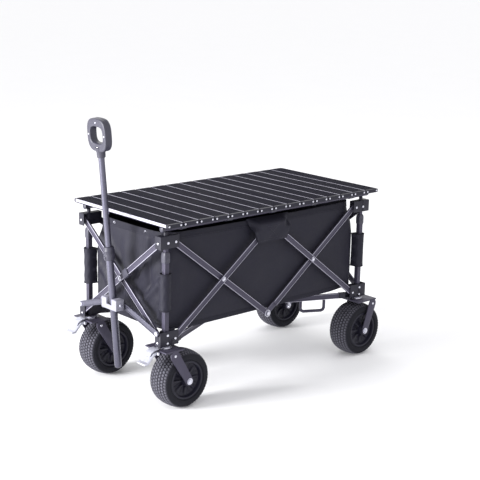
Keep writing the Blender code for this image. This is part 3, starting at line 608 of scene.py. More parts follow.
def channel_bar(node, start, end, outward, thickness, tongue=None, material=None):
    """A bar with two raised rims and a channel between, round both pins.

    Along the bar the half width is BAR_RADIUS, falling as a half circle past each pin. Across it the
    outer face stands at full height on the rims and channel_depth lower between them. A tongue
    (which end, which face is kept) halves the thickness over the last 40 mm.
    """
    size, radius = sizes(), BAR_RADIUS
    start, end, outward = (np.asarray(v, float) for v in (start, end, unit(outward)))
    length = np.linalg.norm(end - start)
    along = (end - start) / length
    over = np.cross(outward, along)
    quarter = np.linspace(0, np.pi / 2, 6)
    stations = np.array([0.010, 0.013, 0.016, 0.019, 0.0388, TONGUE_LENGTH, 0.0425, 0.046])
    s = np.unique(np.round(np.concatenate([
        -radius * np.cos(quarter), length + radius * np.sin(quarter), stations, length - stations,
        np.linspace(0.06, length - 0.06, 8)]), 6))
    past = np.clip(np.maximum(-s, s - length), 0, radius)
    half = np.sqrt(np.maximum(radius ** 2 - past ** 2, 0))
    rim = size.rim_width / radius
    t = np.array([-0.90, -0.4, 0.4, 0.90, 0.985, 1.0, 1.0, 0.985, 0.93, 1 - 0.55 * rim, 1 - rim,
                  1 - 1.5 * rim, 0.3, -0.3, -1 + 1.5 * rim, -1 + rim, -1 + 0.55 * rim, -0.93,
                  -0.985, -1.0, -1.0, -0.985])
    h = np.array([0, 0, 0, 0, 0.05, 0.18, 0.82, 0.95, 1, 1, 1, 1, 1, 1, 1, 1, 1, 1, 0.95, 0.82,
                  0.18, 0.05])
    sunk = np.zeros(len(t))
    sunk[[11, 12, 13, 14]] = 1.0
    # edge marks the rim faces, which get a painted highlight in the powder coat
    edge = np.zeros(len(t))
    edge[[7, 8, 9, 16, 17, 18]] = 1.0
    inner, outer = np.zeros(len(s)), np.full(len(s), thickness)
    fade = smooth(np.minimum(s, length - s), 0.011, 0.018)
    if tongue:
        at_end, kept = tongue
        distance = length - s if at_end else s
        on = 1 - smooth(distance, 0.0388, TONGUE_LENGTH)
        if kept == "outer":
            inner = inner + on * thickness * 0.52
        else:
            outer = outer - on * thickness * 0.52
        fade = fade * smooth(distance, TONGUE_LENGTH, 0.046)
    fade = fade[:, None]
    height = inner[:, None] + h * (outer - inner)[:, None] - sunk * fade * size.channel_depth
    points = (start + s[:, None, None] * along + (half[:, None] * t)[..., None] * over
              + height[..., None] * outward)
    # the rim attribute carries the painted highlight, fainter towards the bar's ends and over its tongues
    patch = shell(points, wrap_cols=True, capped=True, rim=edge * (0.25 + 0.75 * fade))
    return build(node + "_finished", [patch], [material or painted_steel()], BODY_OF[node],
                 replaces=[node], sharp=32)


# ---- operators ------------------------------------------------------------------------------


class WAGON_OT_stage(bpy.types.Operator):
    """Pale floor, soft studio light from the handle's end and the camera"""
    bl_idname = "wagon.stage"
    bl_label = "Stage"

    def execute(self, context):
        scene = context.scene
        # pale seamless paper: matte, white, with no pattern of its own beyond a faint fibre
        paper, _ = surface("studio_paper_white", linear("#fbfbfd"), 400, 6, 0.02, 0.9, spread=0.006)
        half = 60.0
        line = np.linspace(-half, half, 3)
        X, Y = np.meshgrid(line, line, indexing="ij")
        patch = shell(np.stack([X, Y, np.full_like(X, -0.0006)], -1))
        mesh = bpy.data.meshes.new("floor")
        mesh.from_pydata(patch["points"].tolist(), [], patch["faces"].tolist())
        mesh.materials.append(paper)
        floor = bpy.data.objects.new("floor", mesh)
        scene.collection.objects.link(floor)

        world = bpy.data.worlds.new("studio")
        world.use_nodes = True
        world.node_tree.nodes["Background"].inputs["Color"].default_value = linear("#ffffff")
        world.node_tree.nodes["Background"].inputs["Strength"].default_value = 1.0
        scene.world = world
        for name, place, size, power, tint in (
                ("key", (-3.4, 0.8, 1.1), 1.2, 230, "#ffffff"),
                ("fill", (-0.4, -3.6, 2.6), 3.0, 14, "#f3f1ff"),
                ("back", (1.6, 2.8, 2.8), 2.6, 20, "#ffffff")):
            lamp = bpy.data.lights.new(name, "AREA")
            lamp.shape, lamp.size, lamp.energy = "SQUARE", size, power
            lamp.color = linear(tint)[:3]
            light = bpy.data.objects.new(name, lamp)
            light.location = place
            light.rotation_euler = (Vector((0, 0, 0.35)) - Vector(place)).to_track_quat("-Z", "Y").to_euler()
            scene.collection.objects.link(light)
        scene.view_settings.view_transform = "Standard"

        azimuth, down, roll, focal = math.radians(42.24), math.radians(13.92), math.radians(1.22), 1188.4
        forward = Vector((math.sin(azimuth) * math.cos(down), math.cos(azimuth) * math.cos(down),
                          -math.sin(down)))
        right = Vector((math.cos(azimuth), -math.sin(azimuth), 0))
        up = right.cross(forward)
        right, up = (right * math.cos(roll) + up * math.sin(roll),
                     up * math.cos(roll) - right * math.sin(roll))
        lens = bpy.data.cameras.new("camera")
        lens.sensor_width = 36.0
        lens.lens = focal / 480 * 36.0
        camera = bpy.data.objects.new("camera", lens)
        table_low, table_high = box("table_top")
        camera.matrix_world = Matrix.Translation(
            ((table_low[0] + table_high[0]) / 2 - 2.419, -2.710, 1.310)) @ Matrix(
            (right, up, -forward)).transposed().to_4x4()
        scene.collection.objects.link(camera)
        scene.camera = camera
        return {"FINISHED"}


class WAGON_OT_links(bpy.types.Operator):
    """Channel-shaped scissor links with rivets and washers at their crossings"""
    bl_idname = "wagon.links"
    bl_label = "Scissor links"

    def execute(self, context):
        for side, sy in SIDES.items():
            self.long_side(side, sy)
        for end, sx in (("front", -1), ("rear", 1)):
            self.short_end(end, sx)
        return {"FINISHED"}

    def long_side(self, side, sy):
        """Two scissors in a row, which meet top and bottom at the middle."""
        out = (0, sy, 0)
        front = pin("frame_fold")[0]
        rear = 2 * MIDDLE_X - front
        quarter = (rear - front) / 4
        for name, a, b, tongue in (
                ("link_front_rising_" + side, (front, LOWER_Z), (MIDDLE_X, UPPER_Z), (1, "outer")),
                ("link_front_falling_" + side, (front, UPPER_Z), (MIDDLE_X, LOWER_Z), (1, "outer")),
                ("link_rear_falling_" + side, (MIDDLE_X, UPPER_Z), (rear, LOWER_Z), (0, "inner")),
                ("link_rear_rising_" + side, (MIDDLE_X, LOWER_Z), (rear, UPPER_Z), (0, "inner"))):
            base = face(name, 1, -sy)
            channel_bar(name, (a[0], base, a[1]), (b[0], base, b[1]), out, extent(name)[1], tongue)
        outer = face("link_front_rising_" + side, 1, sy)
        for half, carrier, x in (("front", "link_front_rising_", front + quarter),
                                 ("rear", "link_rear_falling_", rear - quarter)):
            rivets("crossing_bolt_%s_%s" % (half, side), carrier + side,
                   [(x, outer - sy * BOLT_SUNK, CROSSING_Z)], out, 0.0052, 0.0042, BOLT_WASHER)
        rivets("top_bolt_" + side, "link_front_rising_" + side, [(MIDDLE_X, outer, UPPER_Z)], out,
               0.005, 0.003)
        # the lower middle joint has a bright open ring round its bolt
        carrier = "link_front_falling_" + side
        place = np.array((MIDDLE_X, face(carrier, 1, sy), LOWER_Z))
        ring = lathe([(0.0088, 0), (0.0108, 0), (0.0110, 0.0009), (0.0100, 0.0014), (0.0088, 0.0009),
                      (0.0088, 0)], place, out, 28)
        spacer = lathe([(0, 0), (0.0062, 0), (0.0062, 0.0035), (0, 0.0035)], place, out, 20)
        head = lathe(dome(0.0048, 0.0028, 0.0035), place, out, 16)
        build("lower_middle_bolt_" + side, [ring, spacer, head], [zinc_plate()], carrier)

    def short_end(self, end, sx):
        """One scissor between two posts, with a moulded clip beside its crossing."""
        out = (sx, 0, 0)
        carrier = "link_falling_" + end
        for name, a, b in (("link_rising_" + end, (-POST_Y, LOWER_Z), (POST_Y, UPPER_Z)),
                           (carrier, (-POST_Y, UPPER_Z), (POST_Y, LOWER_Z))):
            base = face(name, 0, -sx)
            channel_bar(name, (base, *a), (base, *b), out, extent(name)[0])
        outer = face(carrier, 0, sx)
        rivets("crossing_bolt_" + end, carrier, [(outer - sx * BOLT_SUNK, 0, CROSSING_Z)], out,
               0.005, 0.004, BOLT_WASHER)
        # the clip is an eight-cornered section carried a short way along the falling link
        tangent = unit(np.array([0, 2 * POST_Y, LOWER_Z - UPPER_Z]))
        clip_y, clip_half = -0.030, 0.013
        centre = np.array([outer, clip_y, CROSSING_Z + clip_y * tangent[2] / tangent[1]])
        corners = np.array([(0.0112, -0.0085), (0.0125, -0.007), (0.0125, 0.001), (0.0112, 0.0025),
                            (-0.0112, 0.0025), (-0.0125, 0.001), (-0.0125, -0.007), (-0.0112, -0.0085)])
        path = centre + np.linspace(-clip_half, clip_half, 4)[:, None] * tangent
        build("link_clip_" + end, [sweep(corners, path, out)], [cap_plastic()], carrier)


class WAGON_OT_corners(bpy.types.Operator):
    """Corner posts with collars and buttons, and moulded brackets with their rivets"""
    bl_idname = "wagon.corners"
    bl_label = "Posts and brackets"

    def execute(self, context):
        for corner in CORNERS:
            softened("post_lower_tube_" + corner, painted_steel(), 0.0016)
            softened("post_upper_tube_" + corner, painted_steel(), 0.0013)
            softened("lower_bracket_" + corner, moulded_nylon(), 0.0013)
            softened("upper_bracket_" + corner, moulded_nylon(), 0.0013)
            self.tube_fittings(corner)
            self.bracket_rivets(corner)
        return {"FINISHED"}

    def tube_fittings(self, corner):
        """A rounded square collar over the lower tube's mouth, its button, and two dark plugs.

        The collar is a superellipse ring, taller than it is wide; the plugs fill the spring
        button's holes down the tube's outer face.
        """
        _, sy, x, y = corner_place(corner)
        holder = BODY_OF["lower_bracket_" + corner]
        out = (0, sy, 0)
        mouth = face("post_lower_tube_" + corner, 2, 1)
        half = extent("post_lower_tube_" + corner)[0] / 2
        bore = extent("post_upper_tube_" + corner)[0] / 2 + 0.0006
        sides = 32
        square = superellipse(sides, 0.45)
        rows = [(half + 0.0010, -0.0120), (half + 0.0024, -0.0110), (half + 0.0028, -0.005),
                (half + 0.0028, 0.010), (half + 0.0020, 0.016), (bore + 0.0020, 0.0190),
                (bore, 0.0193), (bore, 0.0006), (half + 0.0005, 0.0005), (half + 0.0005, -0.0120)]
        points = [np.concatenate([square * r + (x, y), np.full((sides, 1), mouth + rise)], 1)
                  for r, rise in rows]
        button = lathe([(0, 0), (0.0042, 0), (0.0042, 0.0012), (0.003, 0.002), (0, 0.0021)],
                       (x, y + sy * (half + 0.0022), mouth + 0.002), out, 18)
        build("post_collar_" + corner, [shell(points, wrap_rows=True, wrap_cols=True), button],
              [cap_plastic()], holder, sharp=50)
        plugs = [lathe([(0, -0.0005), (0.0024, -0.0005), (0.0024, 0.0004), (0, 0.0007)],
                       (x, y + sy * half, LOWER_Z + rise), out, 14) for rise in PLUG_RISES]
        build("post_plugs_" + corner, plugs, [cap_plastic()], holder)

    def bracket_rivets(self, corner):
        """Rivet heads on the brackets' ears, on the posts' faces and on the end faces."""
        sx, sy, x, y = corner_place(corner)
        holder, top = BODY_OF["lower_bracket_" + corner], BODY_OF["upper_bracket_" + corner]
        out, along = (0, sy, 0), (sx, 0, 0)
        side_pin = x - sx * abs(pin("frame_fold")[0] - FRONT_X)
        ear = y + sy * 0.0103
        boss = ear + sy * 0.0015
        rivets("lower_rivets_" + corner, holder,
               [(side_pin, ear, LOWER_Z), (x, boss, LOWER_Z - 0.010), (x, boss, LOWER_Z + 0.014)], out)
        rivets("upper_rivets_" + corner, top, [(side_pin, ear, UPPER_Z), (x, boss, UPPER_Z)], out)
        end_face = x + sx * (abs(face("link_falling_front", 0, -1) - FRONT_X) + 0.0036)
        front_drop = 0.006 if sx < 0 else 0
        rivets("lower_end_rivet_" + corner, holder, [(end_face, y, LOWER_Z - front_drop)], along, 0.0038)
        rivets("upper_end_rivet_" + corner, top, [(end_face, y, UPPER_Z)], along, 0.0038)


class WAGON_OT_floor_frame(bpy.types.Operator):
    """Floor bars, their foot loops and the middle plate"""
    bl_idname = "wagon.floor_frame"
    bl_label = "Floor frame"

    def execute(self, context):
        for corner in CORNERS:
            self.bar(corner)
        for corner in ("rl", "rr"):
            slots = frame["nodes"]["floor_foot_loop_" + corner].data.materials
            slots.clear()
            slots.append(painted_steel())
        softened("floor_hub", moulded_nylon(), 0.0012)
        hub_top = face("floor_hub", 2, 1)
        rivets("hub_rivets", "floor_hub",
               [(MIDDLE_X + dx, dy, hub_top) for dx in (-0.06, 0.06) for dy in (-0.03, 0.03)],
               (0, 0, 1), 0.0045, 0.002)
        return {"FINISHED"}

    def bar(self, corner):
        """One bar from its corner's pin to the hub; its inner pin lies where the bar's box ends."""
        name = "floor_bar_" + corner
        outer, heading = bar_heading(corner)
        normal = np.array([heading[1], -heading[0], 0])
        if normal[1] * CORNERS[corner][1] < 0:
            normal = -normal
        low, high = box(name)
        reach = (max(abs(low[0] - outer[0]), abs(high[0] - outer[0])) - BAR_RADIUS) / abs(heading[0])
        drop = outer[2] - (low[2] + BAR_RADIUS)
        # the inner pin stops 0.15 % short of the hub's line
        inner = outer + heading * reach * 0.9985 - np.array([0, 0, drop])
        shift = normal * FLOOR_BAR_THICKNESS / 2
        channel_bar(name, outer - shift, inner - shift, normal, FLOOR_BAR_THICKNESS)
        along = unit(inner - outer)
        proud = normal * (FLOOR_BAR_THICKNESS / 2 + 0.0002)
        rivets("floor_bar_rivets_" + corner, name,
               [inner + proud, inner - along * 0.030 + proud, outer + proud], normal, 0.0036, 0.0018)


class WAGON_OT_table(bpy.types.Operator):
    """Ribbed slats with a painted highlight of bright metal on their sides, end caps, cap screws, elastic cords
    and the two side rails
    """
    bl_idname = "wagon.table"
    bl_label = "Slatted table"

    def execute(self, context):
        low, high = box("table_top")
        pitch = (high[0] - low[0] + SLAT_GAP) / SLAT_COUNT
        width = pitch - SLAT_GAP
        self.slats(low, high, pitch, width)
        # saddles hold every third slat to the rails
        saddle_places = [low[0] + index * pitch + width / 2 for index in range(1, SLAT_COUNT, 3)]
        for side in SIDES:
            self.rail(side, saddle_places)
        return {"FINISHED"}

    def slat_section(self, width, thick):
        """A slat's (x, z) outline, and 1 for each face of it that carries the painted highlight of bright metal.

        The top is a shallow cosine rib repeated across, between rounded shoulders; the rest is flat.
        """
        ribs = sizes().slat_ribs
        u = np.linspace(0, 1, ribs * 6 + 1)
        top = np.stack([0.0022 + u * (width - 0.0044),
                        thick - 0.0007 + 0.0005 * np.abs(np.cos(np.pi * ribs * u)) ** 0.5], -1)
        outline = np.concatenate([
            [(0.0008, 0), (0.0, 0.0028), (0.0, thick - 0.0012), (0.0005, thick - 0.0004),
             (0.0014, thick - 0.0001)],
            top,
            [(width - 0.0014, thick - 0.0001), (width - 0.0005, thick - 0.0004),
             (width, thick - 0.0012), (width, 0.0008), (width - 0.0008, 0)]])
        # the side faces marked 1 get bright metal, a painted highlight along the slat gaps
        slat_edge_highlight = np.zeros(len(outline), int)
        slat_edge_highlight[[1, 2, -5, -4, -3]] = 1
        return outline, slat_edge_highlight

    def slats(self, low, high, pitch, width):
        """Slats across the table, a cap and two screws at both ends of each, and four cords."""
        thick = high[2] - low[2]
        outline, slat_edge_highlight = self.slat_section(width, thick)
        step = 0.0001
        ends = np.array([low[1] + SLAT_CAP, low[1] + SLAT_CAP + step,
                         high[1] - SLAT_CAP - step, high[1] - SLAT_CAP])
        # end cap: a superellipse of the slat's own section, drawn in at its outer end
        oval = superellipse(40, 0.22) * (width / 2, thick / 2)
        cap_rows = [(1.0, SLAT_CAP), (1.0, 0.0022), (0.985, 0.0008), (0.95, 0.0)]
        slats, caps, screws = [], [], []
        for index in range(SLAT_COUNT):
            x0 = low[0] + index * pitch
            slats.append(shell(spread_out(x0 + outline[:, 0], ends[:, None], low[2] + outline[:, 1]),
                               wrap_cols=True, capped=True, finish=np.tile(slat_edge_highlight, len(ends) + 1)))
            for sy, edge in ((-1, low[1]), (1, high[1])):
                caps.append(shell([spread_out(x0 + width / 2 + oval[:, 0] * (0.75 + 0.25 * k),
                                              edge - sy * depth, low[2] + thick / 2 + oval[:, 1] * k)
                                   for k, depth in cap_rows], wrap_cols=True, capped=True))
                for dx in (SLAT_SCREW_IN, width - SLAT_SCREW_IN):
                    screws.append(lathe(dome(0.0031, 0.0016), (x0 + dx, edge, low[2] + thick / 2),
                                        (0, sy, 0), 10))
        body = BODY_OF["table_top"]
        build("table_slats", slats, [anodised(), slat_edge_highlight_metal()], body, replaces=["table_top"],
              sharp=30)
        build("slat_caps", caps, [rim_plastic()], body)
        build("slat_screws", screws, [zinc_plate()], body)
        cord_x = np.linspace(low[0] + 0.02, high[0] - 0.02, 3)
        cords = [sweep(circle(0.0022, 8), spread_out(cord_x, y, low[2] + 0.006), (0, 0, 1))
                 for y in (-0.150, -0.006, 0.006, 0.150)]
        build("slat_cords", cords, [stitch_thread()], body)

    def rail(self, side, saddle_places):
        """A plugged tube under the slats, and half rings round it that hold the slats."""
        body = BODY_OF["table_top"]
        low, high = box("table_rail_" + side)
        centre, r = (low + high) / 2, (high[2] - low[2]) / 2
        front, rear = (low[0], *centre[1:]), (high[0], *centre[1:])
        plug_end, length = 0.012, high[0] - low[0]
        tube = lathe([(0, plug_end), (r, plug_end), (r, length - plug_end), (0, length - plug_end)],
                     front, (1, 0, 0), 28)
        plug = [(0, 0.0), (r * 0.75, 0.0), (r + 0.0002, 0.0015), (r + 0.0002, 0.0118), (0, 0.0118)]
        plugs = [lathe(plug, front, (1, 0, 0), 24, finish=1), lathe(plug, rear, (-1, 0, 0), 24, finish=1)]
        build("table_rail_finished_" + side, [tube, *plugs], [painted_steel(), cap_plastic()], body,
              replaces=["table_rail_" + side])
        t = np.linspace(0, np.pi, 9)
        arch = np.stack([np.cos(t), -np.sin(t)], -1)
        section = np.concatenate([arch * (r + 0.0014), arch[::-1] * (r + 0.0002)])
        saddles = [sweep(section, [(x - 0.011, *centre[1:]), (x + 0.011, *centre[1:])], (0, 0, 1))
                   for x in saddle_places]
        build("rail_saddles_" + side, saddles, [cap_plastic()], body)


class WAGON_OT_wheels(bpy.types.Operator):
    """Treaded tyres, spoked rims, forks with their bolts and the two foot brakes"""
    bl_idname = "wagon.wheels"
    bl_label = "Wheels"

    def execute(self, context):
        tyre, worn = self.tyre()
        rim = self.rim()
        for corner in CORNERS:
            centre = pin("wheel_%s_spin" % corner)
            wheel = "wheel_" + corner
            side = np.array([1, -CORNERS[corner][1], 1])
            build("tyre_treaded_" + corner,
                  [shell(tyre * side + centre, wrap_rows=True, wrap_cols=True, worn=worn)],
                  [tyre_rubber()], wheel, replaces=["tyre_" + corner], sharp=42)
            build("rim_spoked_" + corner, [shell(rim * side + centre, wrap_rows=True, wrap_cols=True)],
                  [rim_plastic()], wheel, replaces=["rim_" + corner], sharp=40)
            softened("wheel_fork_" + corner, painted_steel(), 0.0012)
            self.fork_fittings(corner, centre)
        for corner in ("fl", "fr"):
            self.brake(corner)
        return {"FINISHED"}

    def tyre(self):
        """A tyre round the Y axis at the origin, and how much lighter grey each of its points is coloured.

        Across the tyre t runs from one shoulder to the other, and the crown's radius is
        shoulder + 16 mm * sin(t)^0.62, so the tread is broad and rounds off at both shoulders.
        Furrows part the ribs; sipes repeat every tread_pitch, slanted and shifted from rib to rib.
        """
        size = sizes()
        half, crown = extent("tyre_fl")[1] / 2, extent("tyre_fl")[2] / 2
        bead = extent("rim_fl")[2] / 2
        shoulder = crown - 0.016
        t = np.linspace(0.10, np.pi - 0.10, 60)
        crown_r = shoulder + (crown - shoulder) * np.sin(t) ** 0.62
        crown_y = (half - 0.0015) * np.cos(t)
        wall_r = np.array([bead + 0.0028, bead + 0.0055, bead + 0.0059, bead + 0.0071, bead + 0.0078,
                           bead + 0.0113, shoulder - 0.002, shoulder])
        wall_y = half - np.array([0.0048, 0.0022, 0.0004, 0.0004, 0.0012, 0.0004, 0.0002, 0.0006])
        around, wall, inside = 432, len(wall_r), 2
        angle = round_angles(around)[:, None]
        rib = (np.cos(t) * 0.5 + 0.5) * size.tread_ribs
        off_middle = np.abs((rib % 1) - 0.5)
        furrow = smooth(off_middle * 2, 0.66, 0.84)
        sipe_count = round(2 * np.pi * crown / size.tread_pitch)
        travel = angle / (2 * np.pi) * sipe_count
        phase = (travel + 0.5 * (np.floor(rib) % 2) + 0.35 * off_middle) % 1
        sipe = 1 - smooth(np.abs(phase - 0.5) * 2, 0.10, 0.42)
        keep = smooth(np.sin(t), 0.12, 0.34)
        cut = np.maximum(furrow, sipe * 0.85) * keep
        radius = np.concatenate([
            np.broadcast_to(wall_r, (around, wall)), crown_r - size.tread_depth * cut,
            np.broadcast_to(wall_r[::-1], (around, wall)), np.full((around, inside), bead + 0.0003)], 1)
        place = np.concatenate([wall_y, crown_y, -wall_y[::-1], [-half + 0.005, half - 0.005]])
        # the tread block tops on the crown are coloured a lighter grey, the grooves not
        worn = np.zeros_like(radius)
        worn[:, wall:-wall - inside] = (1 - cut) * smooth(np.sin(t), 0.25, 0.6) * 0.75
        return spread_out(radius * np.cos(angle), place, radius * np.sin(angle)), worn

    def rim(self):
        """A rim round the Y axis at the origin, on a polar grid.

        The dish between lip and hub stands at a depth, spokes rise out of it by a smooth bump in
        the angle, a fine web stands between each two, and the whole is mirrored to the other face.
        """
        theta = round_angles(240)[:, None]
        bead = extent("rim_fl")[2] / 2
        hub_half = 0.0445
        r = np.array([bead, bead + 0.0028, bead + 0.0030, bead + 0.0012, bead - 0.0032, bead - 0.0047,
                      bead - 0.0059, 0.0440, 0.0380, 0.0320, 0.0270, 0.0225, 0.0195, 0.0170, 0.0160,
                      0.0150, 0.0100, 0.0095, 0.0064])
        flat_y = np.array([0.030, 0.0345, 0.0362, 0.0372, 0.0366, 0.0330, 0.0265, 0.0240, 0.0230,
                           0.0225, 0.0225, 0.0235, 0.0250, 0.0310, 0.0400, 0.0432, hub_half,
                           hub_half, hub_half - 0.002])
        dish_inner, dish_outer = 0.0182, 0.0495
        lobe = np.abs(((theta / (2 * np.pi) * sizes().spokes) % 1) - 0.5) * 2
        wide = np.interp(r, [0.0, 0.02, 0.050], [0.62, 0.72, 0.86])
        spoke = smooth(lobe, wide - 0.13, wide + 0.02)
        crest = np.interp(r, [0.016, 0.024, 0.046, dish_outer], [0.0085, 0.0060, 0.0042, 0.001])
        in_dish = (r < dish_outer) & (r > dish_inner)
        web = smooth(1 - lobe, 0.90, 0.97) * 0.0016
        y = flat_y + in_dish * (spoke * crest + web)
        near = np.stack([r * np.cos(theta), -y, r * np.sin(theta)], -1)
        return np.concatenate([near, near[:, ::-1] * (1, -1, 1)], 1)

    def fork_fittings(self, corner, centre):
        """Axle bolts on both legs, a rivet at each leg's top, and the bearing above the fork."""
        sx = CORNERS[corner][0]
        fork = "wheel_fork_" + corner
        holder = BODY_OF[fork]
        swivel_x, bearing_z = MIDDLE_X + sx * POST_X, pin("swivel_fl_turn")[2]
        leg = centre[1] - box(fork)[0][1] - FORK_SHEET + 0.0002
        rivet_x = swivel_x + (0.004 if sx < 0 else 0.035)
        patches = []
        for way in (-1, 1):
            out = (0, way, 0)
            at = centre + np.array([0, way * leg, 0])
            patches += [lathe([(0, 0), (0.0098, 0), (0.0098, 0.0009), (0, 0.001)], at, out, 24),
                        lathe([(0, 0.0008), (0.0078, 0.0008), (0.0078, 0.0034), (0.0070, 0.0042),
                               (0, 0.0043)], at, out, 6),
                        lathe(dome(0.0042, 0.0026, 0.0040), at, out, 14),
                        lathe(dome(0.0042, 0.0022), (rivet_x, at[1], bearing_z - 0.016), out, 14)]
        build("axle_bolts_" + corner, patches, [zinc_plate()], holder, sharp=30)
        # bearing: two pressed cups and a seal between the fork and the bracket
        cups = lathe([(0.0162, 0), (0.0215, 0), (0.0222, 0.0011), (0.0205, 0.0031), (0.0180, 0.0037),
                      (0.0180, 0.0050), (0.0200, 0.0055), (0.0200, 0.0065), (0.0162, 0.0065)],
                     (swivel_x, centre[1], bearing_z), (0, 0, 1), 32, wrap_rows=True)
        build("swivel_bearing_" + corner, [cups], [zinc_plate()], holder)

    def brake(self, corner):
        """The pedal, a short pad folded over its root, and the pin that it turns on."""
        pedal, body = "brake_pedal_" + corner, "brake_" + corner
        softened(pedal, galvanised_sheet(), 0.0010)
        at = pin("brake_%s_press" % corner)
        up = (0, 0, 1)
        fold = np.array([(0.010, 0.0105), (-0.004, 0.0100), (-0.0165, 0.0035), (-0.0215, -0.0040)])
        section = [(-0.0135, 0.0), (-0.0135, 0.0026), (0.0135, 0.0026), (0.0135, 0.0)]
        path = at + spread_out(fold[:, 0], 0.0, fold[:, 1])
        build("brake_pad_" + corner, [sweep(section, path, up)], [galvanised_sheet()], body,
              sharp=30)
        rod = at + np.array([(0.002, -0.0215, 0.0015), (0.002, 0.0215, 0.0015)])
        heads = [lathe(dome(0.0050, 0.0020), rod[end], (0, way, 0), 14) for end, way in ((0, -1), (1, 1))]
        build("brake_pin_" + corner, [sweep(circle(0.0026, 12), rod, up), *heads], [zinc_plate()], body)


